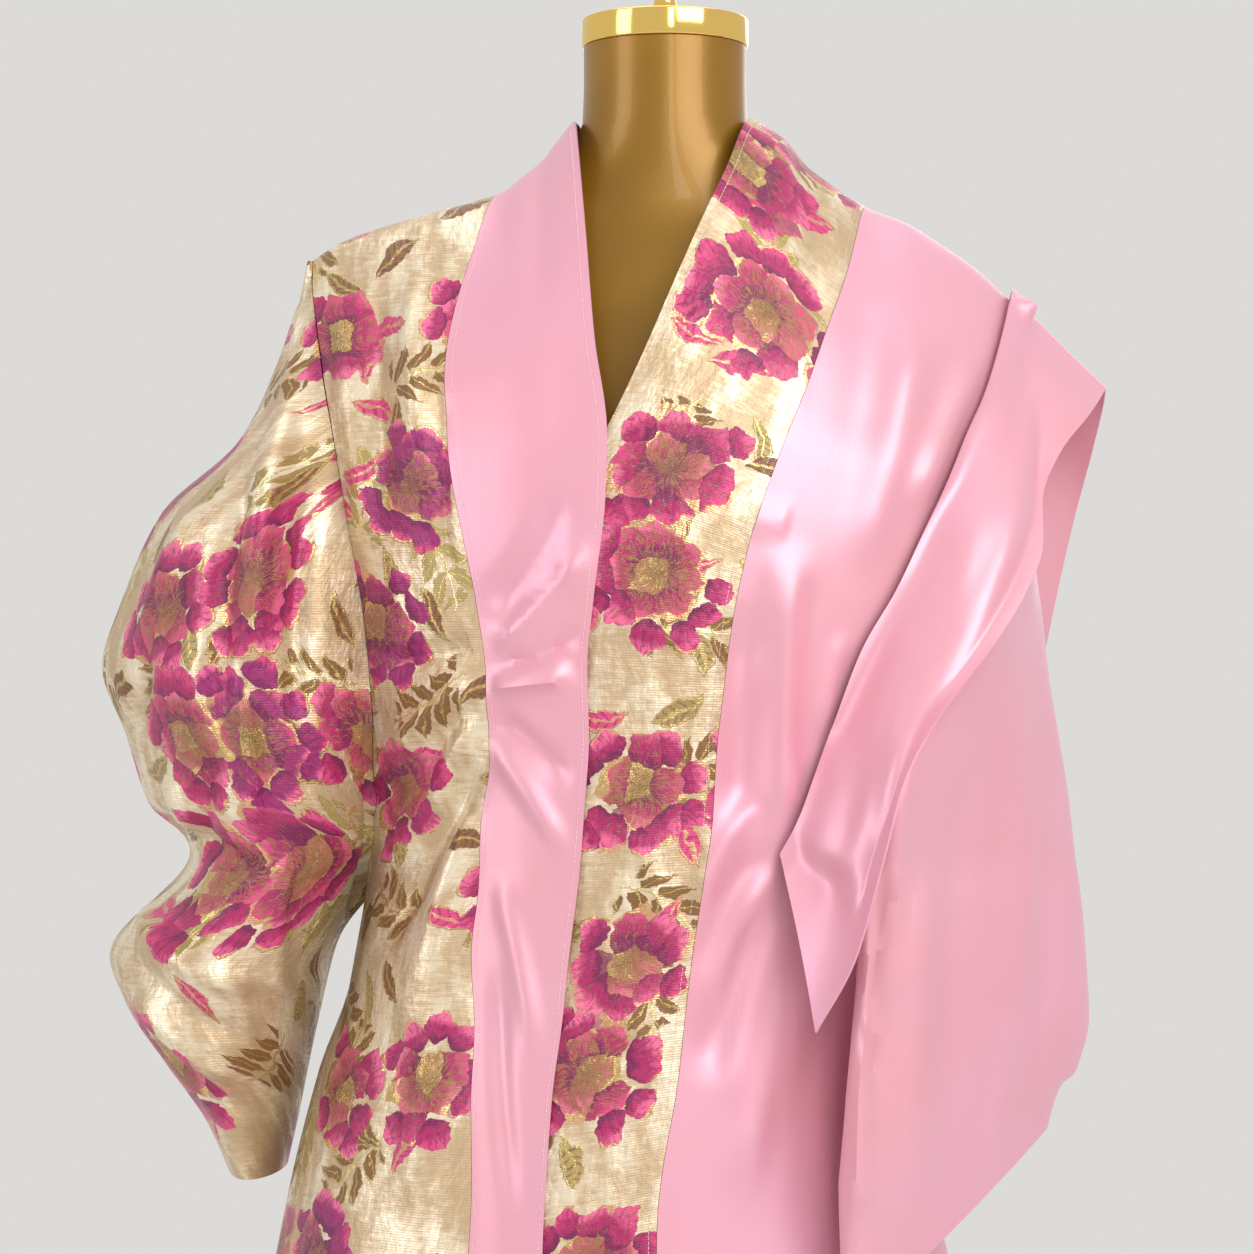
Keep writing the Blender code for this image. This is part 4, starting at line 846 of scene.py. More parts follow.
def collar_places(sign, seam_x):
    """The collar's two edges behind the neck, from the middle of the back to just behind the shoulder."""
    widen = abs(seam_x) / LEFT_FRONT["rows"][0][2]
    edge, seam = [], []
    for edge_x, z, collar_seam_x, seam_z in reversed(COLLAR["rows"]):
        edge.append(place(sign * edge_x, z, False))
        seam.append(place(sign * collar_seam_x * widen, seam_z, False))
    edge, seam = np.array(edge), np.array(seam)
    if sign < 0:
        edge[:, 0] -= 2 * math.pi
        seam[:, 0] -= 2 * math.pi
    middle_gap = SEAM_GAP / 2 / DRAPE_TABLE["half_width"][0]
    edge[0, 0] -= sign * middle_gap
    seam[0, 0] -= sign * middle_gap
    return refined(edge, COLLAR_ROWS), refined(seam, COLLAR_ROWS)


def band(name, source, sign, lift, material):
    """A front band and its half of the collar, in one strip from the middle of the back to the hem."""
    edge = edge_places(source, "edge", True)
    seam = across_gap(edge_places(source, "seam", True), -sign)
    collar_edge, collar_seam = collar_places(sign, source["rows"][0][2])
    front = between(edge, seam, BAND_COLUMNS)
    back = between(collar_edge, collar_seam, BAND_COLUMNS)
    share = np.linspace(0, 1, BAND_COLUMNS + 1)
    overlap = lift * fade((1 - share) / OVERLAP_FADE)[None, :]
    halves = [laid(places, overlap * np.ones((len(places), 1))) for places in (back, front)]
    points, normals = (np.concatenate(parts) for parts in zip(*halves))
    ridge = len(back)
    normals[ridge] = normalised(normals[ridge - 1] + normals[ridge + 1])
    if sign < 0:
        points, normals = points[:, ::-1], normals[:, ::-1]
    return wall(name, points, normals, material, along_length=True)


def front_panel(name, source, sign, material):
    """One front, from its band's seam to the armhole and the side seam. Returns its armhole edge too."""
    seam = edge_places(source, "seam", True)
    outer = edge_places(source, "outer", True)
    inner = across_gap(seam, sign)
    side_rows = source["underarm_row"] * ROWS_PER_STATION
    held = outer.copy()
    held[side_rows:, 0] -= sign * half_gap(held[side_rows:, 1])
    points, normals = laid(between(inner, held, FRONT_COLUMNS))
    open_shoulder(points, normals, -1)
    if sign < 0:
        points, normals = points[:, ::-1], normals[:, ::-1]
    return wall(name, points, normals, material), outer[: side_rows + 1]


def back_panel(name, source, front_source, sign, material):
    """One back, from the centre seam to the armhole and the side seam. Returns its armhole edge too."""
    centre_z = table(source)["centre_z"]
    stations, fine = finer(len(centre_z), ROWS_PER_STATION)
    centre = np.array([place(0.0, z, False) for z in centre_z])
    centre_drop = smooth(fine, stations, centre[:, 1])
    centre_x = -drape_size("centre", centre_drop) / drape_size("half_width", centre_drop)
    middle = np.stack([sign * (math.pi - sign * np.arcsin(centre_x)), centre_drop], axis=-1)
    outer = edge_places(source, "outer", False)
    side_rows = source["underarm_row"] * ROWS_PER_STATION
    held = outer.copy()
    held[side_rows:, 0] += sign * half_gap(held[side_rows:, 1])
    inner = middle.copy()
    inner[:, 0] -= sign * half_gap(inner[:, 1])
    _, collar_seam = collar_places(sign, front_source["rows"][0][2])
    neck = np.vstack([collar_seam, [place(front_source["rows"][0][2], ABOVE_ALL, False)]])
    if sign < 0:
        neck[-1, 0] -= 2 * math.pi
    neck[:, 1] += SEAM_GAP
    neck[-1, 0] -= sign * SEAM_GAP
    beyond = between(neck[-1:], held[:1], BACK_COLUMNS - NECK_COLUMNS)[0, 1:]
    beyond[:, 1] = 0.0
    top = np.vstack([neck, beyond])
    share = ((top[:, 0] - top[0, 0]) / (top[-1, 0] - top[0, 0]))[None, :, None]
    straight = inner[:, None, :] * (1 - share) + held[:, None, :] * share
    settle = (1 - fade(fine / NECK_ROWS))[:, None, None]
    points, normals = laid(straight + (top - straight[0])[None] * settle)
    open_shoulder(points, normals, 1)
    if sign > 0:
        points, normals = points[:, ::-1], normals[:, ::-1]
    return wall(name, points, normals, material), outer[: side_rows + 1]


def armhole_lines(front_edge, back_edge):
    """The armhole's front and back lines from the shoulder to the underarm, moved off the body by the gap."""
    places = np.vstack([front_edge, back_edge[-2:0:-1]])
    ring, normals = laid(places)
    along = normalised(np.roll(ring, -1, axis=0) - np.roll(ring, 1, axis=0))
    away = normalised(np.cross(along, normals))
    if np.sum(away * (ring.mean(axis=0) - ring)) < 0:
        away = -away
    ring = ring + away * (SEAM_GAP + CLOTH / 2) + normals * CLOTH * SEAM_RIDE
    under = len(front_edge) - 1
    return ring[: under + 1], np.vstack([ring[:1], ring[:under:-1], ring[under : under + 1]])


def at_height(line, z):
    """The point of a line at a height, where the line only goes down."""
    return np.array([np.interp(-z, -line[:, 2], line[:, i]) for i in range(3)])


def level_curve(stations, joined):
    """A smooth curve through five points: near the body, in front, outermost, behind, and near it again."""
    tangents = []
    for i in (1, 2, 3):
        ahead = stations[i + 1] - stations[i]
        behind = stations[i - 1] - stations[i]
        nearest = min(np.linalg.norm(ahead), np.linalg.norm(behind))
        reach = min(np.linalg.norm(ahead - behind), LEVEL_REACH * nearest)
        tangents.append(LEVEL_PULL * reach * normalised(normalised(ahead) - normalised(behind)))
    if joined:
        first = last = LEVEL_PULL * (stations[1] - stations[3])
    else:
        tangents[0][1] *= 0.3
        tangents[2][1] *= 0.3
        first = 1.5 * (stations[1] - stations[0]) - 0.5 * tangents[0]
        last = 1.5 * (stations[4] - stations[3]) - 0.5 * tangents[2]
    tangents = [first, *tangents, last]
    curve = [stations[0]]
    for i in range(4):
        for step in range(1, QUARTER_COLUMNS + 1):
            share = step / QUARTER_COLUMNS
            curve.append(cubic(share, stations[i], tangents[i], stations[i + 1], tangents[i + 1]))
    return np.array(curve)


def off_the_body(curve, z, sign):
    """A level's curve, pushed out sideways where it would come too near the drape. Its ends stay."""
    drop = NECK_TOP - z
    depth = np.where(curve[:, 1] < 0, drape_size("front", drop), drape_size("back", drop))
    facing = np.minimum(np.abs(curve[:, 1]) / depth, 1.0) ** (1 / CROWN)
    reach = drape_size("half_width", drop) * np.sqrt(1 - facing**2)
    limit = sign * drape_size("centre", drop) + np.where(facing < 1, reach, -1.0) + SLEEVE_CLEARANCE
    pushed = curve.copy()
    pushed[1:-1, 0] = sign * np.maximum(sign * curve[1:-1, 0], limit[1:-1])
    return pushed


def over_the_shoulder(front_line, back_line, next_row):
    """The sleeve's first row, along the armhole from its front over the shoulder to its back."""
    line = np.stack([front_line[1], front_line[0], at_height(back_line, front_line[1][2])])
    far = np.concatenate([[0.0], np.cumsum(np.linalg.norm(np.diff(line, axis=0), axis=1))])
    steps = np.concatenate([[0.0], np.cumsum(np.linalg.norm(np.diff(next_row, axis=0), axis=1))])
    at = far[-1] * steps / steps[-1]
    return np.stack([np.interp(at, far, line[:, i]) for i in range(3)], axis=-1)


def sleeve(name, source, front_edge, back_edge, sign, material):
    """A sleeve, level by level from the shoulder to its open hem."""
    columns = table(source)
    front_line, back_line = armhole_lines(front_edge, back_edge)
    heights = list(front_line[1:, 2])
    joined_from = len(heights) - 1
    below = heights[-1] - columns["z"][-1]
    heights += list(heights[-1] - np.linspace(0, below, math.ceil(below / LEVEL_STEP) + 1)[1:])
    rising = columns["z"][::-1]
    rows = []
    for i, z in enumerate(heights):
        size = {c: float(smooth(z, rising, columns[c][::-1])) for c in SLEEVE_COLUMNS[1:]}
        inside = np.array([size["in_x"], size["in_y"], z])
        ends = (inside, inside)
        if i <= joined_from:
            ends = (at_height(front_line, z), at_height(back_line, z))
        outside = [np.array([size[way + "_x"], size[way + "_y"], z]) for way in ("front", "out", "back")]
        stations = [ends[0], *outside, ends[1]]
        curve = level_curve(stations, i >= joined_from)
        if NECK_TOP - z > RIDGE_FADE:
            curve = off_the_body(curve, z, sign)
        curve[:, 2] += size["rise"] * np.maximum(curve[:, 0] - size["front_x"], 0)
        rounded = math.sqrt(min(1.0, max(0.0, front_line[0, 2] - z) / CAP_ROUND))
        seam = np.linspace(ends[0][0], ends[1][0], len(curve))
        curve[:, 0] = seam + (curve[:, 0] - seam) * rounded
        rows.append(curve)
    points = np.array(rows)
    points[0] = over_the_shoulder(front_line, back_line, points[1])
    if sign < 0:
        points = points[:, ::-1]
    points = eased(points, joined_from)
    folds = LEFT_SLEEVE_FOLDS if sign > 0 else RIGHT_SLEEVE_FOLDS
    points = puckered(points, folds, 0.0 if sign < 0 else -0.03, joined_from)
    normals = grid_normals(points, joined_from)
    normals[1, 0] = normals[1, 1]
    normals[1, -1] = normals[1, -2]
    normals[0] = normals[1]
    return wall(name, points, normals, material, joined_from)


def outer_sheets(names):
    """The outer faces of walls already built, as one tree for finding the cloth that lies below."""
    vertices = []
    faces = []
    for name in names:
        mesh = bpy.data.objects[name].data
        half = len(mesh.vertices) // 2
        first = len(vertices)
        vertices += [v.co.copy() for v in mesh.vertices[:half]]
        faces += [[first + i for i in f.vertices] for f in mesh.polygons if max(f.vertices) < half]
    return BVHTree.FromPolygons(vertices, faces)


def neighbours(grid):
    """Each value of a grid with the eight round it, edges repeated."""
    rows, columns = grid.shape
    wide = np.pad(grid, 1, mode="edge")
    return np.stack([wide[i : i + rows, j : j + columns] for i in range(3) for j in range(3)])


def laid_over(points, facing, names, clearance):
    """Points moved out, the way their row faces, where they would sink into, or touch, the cloth below."""
    below = outer_sheets(names)
    lifts = np.zeros(points.shape[:2])
    ways = normalised(np.stack([np.cos(facing), np.sin(facing), RAY_RISE * np.cos(facing)], axis=-1))
    for row, way in enumerate(ways):
        out = Vector(way)
        for column in range(points.shape[1]):
            point = Vector(points[row, column])
            hit, normal = below.ray_cast(point + out * RAY_START, -out, RAY_START + 3 * clearance)[:2]
            if hit is not None:
                room = clearance / max(normal.dot(out), 0.4)
                lifts[row, column] = max(room - (point - hit).dot(out), 0.0)
    lifts = np.maximum(neighbours(neighbours(lifts).max(axis=0)).mean(axis=0), lifts)
    lifts[:, 0] = np.minimum(lifts[:, 0], clearance)
    return points + ways[:, None] * lifts[..., None]


def flap(name, source, material):
    """The flap over the left sleeve, in one strip from its front end over the shoulder to its back end."""
    columns = table(source)
    starts = zip(columns["side"], columns["seam_x"], columns["seam_z"])
    places = np.array([place(x, z, side < 0) for side, x, z in starts])
    seam, _ = laid(places, np.full(len(places), FLAP_LIFT))
    hem = np.stack([columns[c] for c in ("hem_x", "hem_y", "hem_z")], axis=-1)
    stations, fine = finer(len(places), FLAP_ROWS_PER_STATION)
    seam, hem = (
        np.stack([smooth(fine, stations, edge[:, i]) for i in range(3)], axis=-1) for edge in (seam, hem)
    )
    share = np.linspace(0, 1, FLAP_COLUMNS + 1)[None, :, None]
    points = seam[:, None] * (1 - share) + hem[:, None] * share
    swell = smooth(fine, stations, columns["swell"])[:, None, None] * np.sin(share * math.pi)
    points = points + grid_normals(points) * swell
    facing = np.radians(smooth(fine, stations, columns["faces"]))
    below = ("cloth_front_left", "cloth_back_left", "cloth_sleeve_left")
    points = laid_over(points, facing, below, FLAP_CLEARANCE)
    points = puckered(points, FLAP_FOLDS, 0.0)
    return wall(name, points, grid_normals(points), material)


# The form and its stand
def lofted(name, rings, material):
    """A closed solid through rings of points, from the bottom up, with flat ends."""
    rings = np.asarray(rings)
    count = rings.shape[1]
    faces = [tuple(reversed(range(count)))]
    for i in range(len(rings) - 1):
        for j in range(count):
            a, b = i * count + j, i * count + (j + 1) % count
            faces.append((a, b, b + count, a + count))
    top = (len(rings) - 1) * count
    faces.append(tuple(range(top, top + count)))
    return make_object(name, rings.reshape(-1, 3), faces, material)


def turned(name, outline, bottom, segments, material):
    """A turned solid from its radii and heights, standing at a height."""
    turn = np.linspace(0, 2 * math.pi, segments, endpoint=False)
    circle = np.stack([np.cos(turn), np.sin(turn)], axis=-1)
    rings = [
        np.column_stack([circle * radius, np.full(segments, bottom + height)]) for radius, height in outline
    ]
    return lofted(name, rings, material)


def form_torso(material):
    columns = table(FORM)
    turn = np.linspace(0, 2 * math.pi, FORM_SEGMENTS, endpoint=False)
    rings = []
    for z, half_width, front, back in zip(*(columns[c] for c in FORM["columns"])):
        depth = np.where(np.sin(turn) < 0, front, back)
        ring = [half_width * np.cos(turn), depth * np.sin(turn), np.full(FORM_SEGMENTS, z)]
        rings.append(np.stack(ring, axis=-1))
    return lofted("form_torso", rings, material)


# Creases
def crease_relief(points, folds, middle_y, turn=0.02, start=0.22, end=0.3):
    """How far a table of folds moves points out. Each fades in over the start of its length, out over its
    end, and over the turn from front to back."""
    relief = np.zeros(points.shape[:-1])
    for side, x0, z0, x1, z1, half_width, height, bend in folds["rows"]:
        along = np.array([x1 - x0, z1 - z0])
        length = np.linalg.norm(along)
        along = along / length
        dx, dz = points[..., 0] - x0, points[..., 2] - z0
        run = (dx * along[0] + dz * along[1]) / length
        bow = 4 * bend * run * (1 - run)
        off = (dx * along[1] - dz * along[0] - bow) / half_width
        same_side = fade((points[..., 1] - middle_y) * side / turn)
        ends = fade(run / start) * fade((1 - run) / end)
        relief = relief + height * np.exp(-(off**2)) * ends * same_side
    return relief


def puckered(points, folds, middle_y, joined_from=None):
    """A sleeve's or flap's points with their creases, which fade out towards the seam."""
    relief = crease_relief(points, folds, middle_y)
    share = np.linspace(0, 1, points.shape[1])
    edge = np.minimum(fade(share / EDGE_SHARE), fade((1 - share) / EDGE_SHARE))[None, :]
    if joined_from is not None:
        held = fade((joined_from - np.arange(len(points))) / JOIN_ROWS)[:, None]
        edge = 1 - held * (1 - edge)
    rows = fade(np.arange(len(points)) / SEAM_ROWS)[:, None]
    return points + grid_normals(points, joined_from) * (relief * edge * rows)[..., None]


def eased(points, row, reach=12, rounds=30):
    """A grid smoothed down its columns near the row where its tube closes, but not at the armhole's edge."""
    share = np.linspace(0, 1, points.shape[1])
    inside = np.minimum(fade(share / 0.08), fade((1 - share) / 0.08))[None, :]
    rows = np.arange(row - reach, row + reach + 1)
    pull = fade(1 - np.abs(rows - row) / reach)[:, None] * np.where(rows[:, None] > row, 1.0, inside)
    points = points.copy()
    for _ in range(rounds):
        middle = (points[rows - 1] + points[rows + 1]) / 2
        points[rows] += 0.5 * pull[..., None] * (middle - points[rows])
    return points


# Materials
class Value:
    """A socket of a shader, on which Python's operators add the nodes that do the sum."""

    def __init__(self, graph, socket):
        self.graph = graph
        self.socket = socket

    def _sum(self, operation, other, swapped=False):
        pair = (other, self) if swapped else (self, other)
        return self.graph.add("ShaderNodeMath", {"operation": operation}, pair)

    def __add__(self, other):
        return self._sum("ADD", other)

    def __sub__(self, other):
        return self._sum("SUBTRACT", other)

    def __mul__(self, other):
        return self._sum("MULTIPLY", other)

    def __truediv__(self, other):
        return self._sum("DIVIDE", other)

    def __rsub__(self, other):
        return self._sum("SUBTRACT", other, True)

    __radd__ = __add__
    __rmul__ = __mul__


class Graph:
    """One material's nodes. add() makes any node from its type, its settings and its sockets' values."""

    def __init__(self, name):
        self.material = bpy.data.materials.new(name)
        self.material.use_nodes = True
        self.nodes = self.material.node_tree.nodes
        self.links = self.material.node_tree.links
        self.shader = self.nodes["Principled BSDF"]

    def add(self, kind, settings=None, inputs=(), output=0):
        node = self.nodes.new(kind)
        for name, value in (settings or {}).items():
            setattr(node, name, value)
        pairs = inputs.items() if isinstance(inputs, dict) else enumerate(inputs)
        for name, value in pairs:
            self.put(node.inputs[name], value)
        return Value(self, node.outputs[output])

    def put(self, socket, value):
        if isinstance(value, Value):
            self.links.new(value.socket, socket)
        else:
            socket.default_value = value

    def finish(self, **inputs):
        for name, value in inputs.items():
            self.put(self.shader.inputs[name.replace("_", " ")], value)
        return self.material

    def maths(self, operation, *inputs):
        return self.add("ShaderNodeMath", {"operation": operation}, inputs)

    def step(self, value, low, high):
        """0 where value is below low, 1 above high."""
        settings = {"interpolation_type": "SMOOTHSTEP"}
        return self.add("ShaderNodeMapRange", settings, {"Value": value, "From Min": low, "From Max": high})

    def vector(self, operation, *inputs, output=0):
        return self.add("ShaderNodeVectorMath", {"operation": operation}, inputs, output)

    def below(self, value, low, high):
        """1 where value is below low, 0 above high."""
        return 1.0 - self.step(value, low, high)

    def most(self, first, second):
        return self.maths("MAXIMUM", first, second)

    def size(self, value):
        return self.maths("ABSOLUTE", value)

    def saw(self, value):
        """How far value is from the nearest half."""
        return self.size(self.maths("FRACT", value + 10.0) - 0.5)

    def bump(self, height, strength):
        inputs = {"Strength": strength, "Distance": 1.0, "Height": height}
        return self.add("ShaderNodeBump", None, inputs)

    def parts(self, vector):
        node = self.nodes.new("ShaderNodeSeparateXYZ")
        self.put(node.inputs[0], vector)
        return [Value(self, node.outputs[i]) for i in range(3)]

    def joined(self, x, y, z=0.0):
        return self.add("ShaderNodeCombineXYZ", None, (x, y, z))

    def mix(self, factor, first, second):
        node = self.nodes.new("ShaderNodeMix")
        node.data_type = "RGBA"
        self.put(node.inputs["Factor"], factor)
        self.put(node.inputs["A"], first)
        self.put(node.inputs["B"], second)
        return Value(self, node.outputs["Result"])

    def noise(self, at, scale, detail=3.0, roughness=0.55, output=0):
        settings = {"noise_dimensions": "2D"}
        inputs = {"Vector": at, "Scale": scale, "Detail": detail, "Roughness": roughness}
        return self.add("ShaderNodeTexNoise", settings, inputs, output)

    def grains(self, at, across, down, detail, roughness=0.55):
        """Noise of so many grains to the metre across the cloth and down it."""
        return self.noise(self.vector("MULTIPLY", at, (across, down, 1.0)), 1.0, detail, roughness)

    def in_solid(self, scales):
        """Noise through a solid, one for each scale and detail."""
        place = self.add("ShaderNodeTexCoord", None, (), 3)
        return [
            self.add("ShaderNodeTexNoise", None, {"Vector": place, "Scale": scale, "Detail": detail})
            for scale, detail in scales
        ]

    def cells(self, at, randomness):
        """For each point of a jittered net of cells, the way from its cell's middle, and three chances."""
        node = self.nodes.new("ShaderNodeTexVoronoi")
        node.voronoi_dimensions = "2D"
        node.feature = "F1"
        node.inputs["Scale"].default_value = 1.0
        node.inputs["Randomness"].default_value = randomness
        self.put(node.inputs["Vector"], at)
        away = self.vector("SUBTRACT", at, Value(self, node.outputs["Position"]))
        return away, self.parts(Value(self, node.outputs["Color"]))

    def turned(self, away, turn):
        """A way turned about its middle: how far along, and how far across."""
        x, y, _ = self.parts(away)
        cosine, sine = self.maths("COSINE", turn), self.maths("SINE", turn)
        return x * cosine + y * sine, y * cosine - x * sine


def colour(red, green, blue):
    return (red, green, blue, 1.0)


def flat_cloth(graph):
    return graph.add("ShaderNodeUVMap", {"uv_map": "flat"})


SATIN_PINK = colour(0.70, 0.325, 0.405)
SATIN_SALMON = colour(0.71, 0.355, 0.365)
SATIN_LILAC = colour(0.71, 0.395, 0.56)


def satin():
    """Heavy satin: a smooth metallic sheen over pink, with a weave too fine to count."""
    g = Graph("satin")
    place = flat_cloth(g)
    drift = g.noise(place, 7.0, 2.0)
    warm = g.noise(g.vector("ADD", place, (3.1, 1.7, 0.0)), 4.0, 2.0)
    tone = g.mix(g.step(drift, 0.30, 0.80) * 0.40, SATIN_PINK, SATIN_LILAC)
    tone = g.mix(g.step(warm, 0.35, 0.85) * 0.35, tone, SATIN_SALMON)
    threads = g.grains(place, 900.0, 160.0, 2.0)
    creases = g.grains(place, 26.0, 12.0, 3.0, 0.5)
    return g.finish(
        Base_Color=tone,
        Metallic=0.30,
        Roughness=g.step(threads, 0.0, 1.0) * 0.06 + 0.36,
        Normal=g.bump(threads * 0.00010 + creases * 0.0003, 0.6),
        Sheen_Weight=0.20,
        Sheen_Tint=colour(0.92, 0.80, 1.0),
    )


# Painted shade: the darkest ground colour, laid in the hollows of the crumpled ground
GROUND_PAINTED_SHADE = colour(0.50, 0.36, 0.215)
GROUND = colour(0.58, 0.43, 0.27)
# Painted sheen: the lightest ground colour, laid on the crests of the crumpled ground
GROUND_PAINTED_SHEEN = colour(0.76, 0.66, 0.49)
PETAL_PINK = colour(0.74, 0.13, 0.27)
PETAL_ROSE = colour(0.60, 0.055, 0.18)
PETAL_MAGENTA = colour(0.37, 0.016, 0.105)
PETAL_PURPLE = colour(0.30, 0.015, 0.13)
PETAL_VEIN = colour(0.13, 0.006, 0.06)
GOLD_THREAD = colour(0.72, 0.56, 0.22)
LEAF_BRONZE = colour(0.20, 0.095, 0.025)
LEAF_OLIVE = colour(0.36, 0.27, 0.09)
HEART_BRONZE = colour(0.40, 0.22, 0.07)
PETAL_CELL = 0.0185
BLOOM_CELL = 0.098
SPRAY_CELL = 0.074
LEAF_CELL = 0.046
RIB = 0.0016


def brocade():
    """Floral brocade: a ribbed champagne ground with woven blooms, leaves and sprays in gold outline.

    A net of jittered cells gives the petals. A wider net gives the blooms, and is read at each petal's
    middle, so a petal is in a bloom whole or not at all, and a bloom's outline is scalloped.
    """
    g = Graph("brocade")
    place = flat_cloth(g)
    wander = g.vector("SUBTRACT", g.noise(place, 42.0, 4.0, 0.65, output=1), (0.5,) * 3)
    bent = g.vector("ADD", place, g.vector("MULTIPLY", wander, (0.013, 0.013, 0.0)))

    def net(at, cell, shift, randomness):
        at = g.vector("ADD", g.vector("MULTIPLY", at, (1 / cell, 1 / cell, 1.0)), shift)
        return g.cells(at, randomness)

    rib = g.maths("SINE", g.parts(place)[1] * (2 * math.pi / RIB)) * 0.5 + 0.5
    streak = g.grains(place, 70.0, 420.0, 4.0, 0.7)
    cloud = g.grains(place, 34.0, 17.0, 4.0, 0.6)
    # Painted sheen: shine lightens the ground where the cloud and streak noise that raises the crumples is
    # high, and lowers the roughness there too
    shine = g.step(streak * 0.35 + cloud * 0.9, 0.54, 0.80)
    # Painted shade: the ground goes to its darkest colour where the cloud and streak noise that raises the
    # crumples is low
    tone = g.mix(g.step(streak * 0.3 + cloud * 0.9, 0.42, 0.72), GROUND_PAINTED_SHADE, GROUND)
    tone = g.mix(shine, tone, GROUND_PAINTED_SHEEN)
    glint = g.step(g.grains(place, 420.0, 700.0, 1.0), 0.58, 0.66)

    # Sprays: a stem with pairs of leaflets
    away, (turn, chance, hue) = net(bent, SPRAY_CELL, (7.3, 2.9, 0.0), 0.85)
    along, across = g.turned(away, turn * 6.28 + 0.4)
    across = across + along * along * 0.5 - 0.03
    side = g.size(across)
    leaf_line = g.saw((along - side * 0.9) / 0.21)
    leaf_width = g.step(side, 0.0, 0.08) * g.step(0.27 - side, 0.0, 0.15)
    inside = leaf_width * 0.42 - leaf_line
    present = g.step(chance, 0.34, 0.35)
    leaf = g.step(inside, 0.0, 0.05) * g.step(0.38 - g.size(along), 0.0, 0.02) * present
    stem = g.below(side, 0.008, 0.017) * g.step(0.46 - g.size(along), 0.0, 0.02) * present
    tone = g.mix(leaf, tone, g.mix(g.step(hue, 0.45, 0.80), LEAF_BRONZE, LEAF_OLIVE))
    gold = leaf * g.below(inside, 0.05, 0.11) * g.step(hue, 0.25, 0.3)
    gold = g.most(gold, leaf * g.below(leaf_line, 0.02, 0.05) * 0.8)

    # Single leaves and buds: pointed ovals with a midrib
    away, (turn, chance, hue) = net(bent, LEAF_CELL, (1.9, 5.1, 0.0), 0.9)
    along, across = g.turned(away, turn * 6.28)
    side = g.size(across + along * along * 0.45 - 0.02)
    oval = (0.17 - along * along * 0.95) - side * (1.15 - along * 0.5)
    bud = g.step(hue, 0.70, 0.71)
    on = g.step(oval, 0.0, 0.02) * g.step(chance, 0.36, 0.37)
    green = g.mix(g.step(turn, 0.3, 0.7), LEAF_BRONZE, LEAF_OLIVE)
    tone = g.mix(on, tone, g.mix(bud, green, PETAL_ROSE))
    shade = on * g.step(g.saw((along - side * 0.8) / 0.12), 0.28, 0.45) * 0.55
    tone = g.mix(shade, tone, PETAL_VEIN)
    gold = g.most(gold * (1.0 - on), on * g.below(oval, 0.022, 0.050) * g.step(turn, 0.2, 0.25))
    gold = g.most(gold, on * g.below(side, 0.012, 0.030) * 0.8)
    gold = g.most(gold, stem * (1.0 - on))
    woven = g.most(leaf, on)

    # Blooms
    away, (_, petal_chance, petal_hue) = net(bent, PETAL_CELL, (0.0, 0.0, 0.0), 0.8)
    middle = g.vector("SUBTRACT", bent, g.vector("MULTIPLY", away, (PETAL_CELL, PETAL_CELL, 0.0)))
    off, (_, chance, hue) = net(middle, BLOOM_CELL, (0.4, 0.7, 0.0), 0.72)
    reach = chance * 0.15 + 0.32 + petal_chance * 0.06
    far = g.vector("LENGTH", off, output=1) / reach
    near = g.vector("LENGTH", away, output=1)
    whole = g.below(far, 0.995, 1.0) * g.step(chance, 0.16, 0.17)
    bloom = whole * g.most(g.step(0.60 - near, 0.0, 0.03), g.below(far, 0.70, 0.74))
    outward = g.vector("DOT_PRODUCT", away, g.vector("NORMALIZE", off), output=1)
    here = g.vector("ADD", off, g.vector("MULTIPLY", away, (PETAL_CELL / BLOOM_CELL,) * 2 + (0.0,)))
    here_x, here_y, _ = g.parts(here)
    angle = g.maths("ARCTAN2", here_y, here_x)
    rays = g.noise(g.joined(angle * 9.0, g.vector("LENGTH", here, output=1) * 7.0), 2.2, 3.0, 0.6)
    fringe = g.noise(bent, 210.0, 3.0, 0.6)
    lift = outward + (fringe - 0.5) * 0.35
    pink = g.mix(g.step(petal_hue, 0.35, 0.7), PETAL_ROSE, PETAL_PINK)
    petal = g.mix(g.step(lift, -0.05, 0.34), PETAL_MAGENTA, pink)
    petal = g.mix(g.step(hue, 0.72, 0.76) * g.below(lift, 0.10, 0.40), petal, PETAL_PURPLE)
    petal = g.mix(g.below(rays, 0.40, 0.50) * 0.55, petal, PETAL_VEIN)
    petal = g.mix(g.below(lift, -0.42, -0.20) * 0.8, petal, PETAL_VEIN)
    tone = g.mix(bloom, tone, petal)
    edge = bloom * g.step(near, 0.47, 0.52) * g.step(outward, 0.05, 0.30)
    streaks = bloom * g.below(far + (rays - 0.5) * 1.9, 0.30, 0.48)
    tone = g.mix(streaks * 0.85, tone, g.mix(fringe, LEAF_BRONZE, HEART_BRONZE))
    heart = bloom * g.below(far + (fringe - 0.5) * 0.3, 0.10, 0.18)
    lines = g.most(edge * g.step(petal_chance, 0.30, 0.34), heart * g.step(rays, 0.40, 0.55))
    gold = g.most(gold * (1.0 - bloom), lines)
    woven = g.most(woven, bloom)
    tone = g.mix(gold * (glint * 0.3 + 0.62), tone, GOLD_THREAD)

    pucker = g.grains(place, 70.0, 46.0, 3.0)
    height = rib * 0.00010 + woven * 0.00050 + gold * 0.00025 + streak * 0.0003 + cloud * 0.0024
    height = height + pucker * 0.0022 + woven * lift * 0.0005 + woven * rays * 0.0003
    return g.finish(
        Base_Color=tone,
        Metallic=g.most(0.48 - woven * 0.36, gold * 0.85),
        Roughness=0.47 - shine * 0.14 - gold * 0.12 - woven * 0.03,
        Normal=g.bump(height, 0.8),
        Sheen_Weight=0.04,
    )


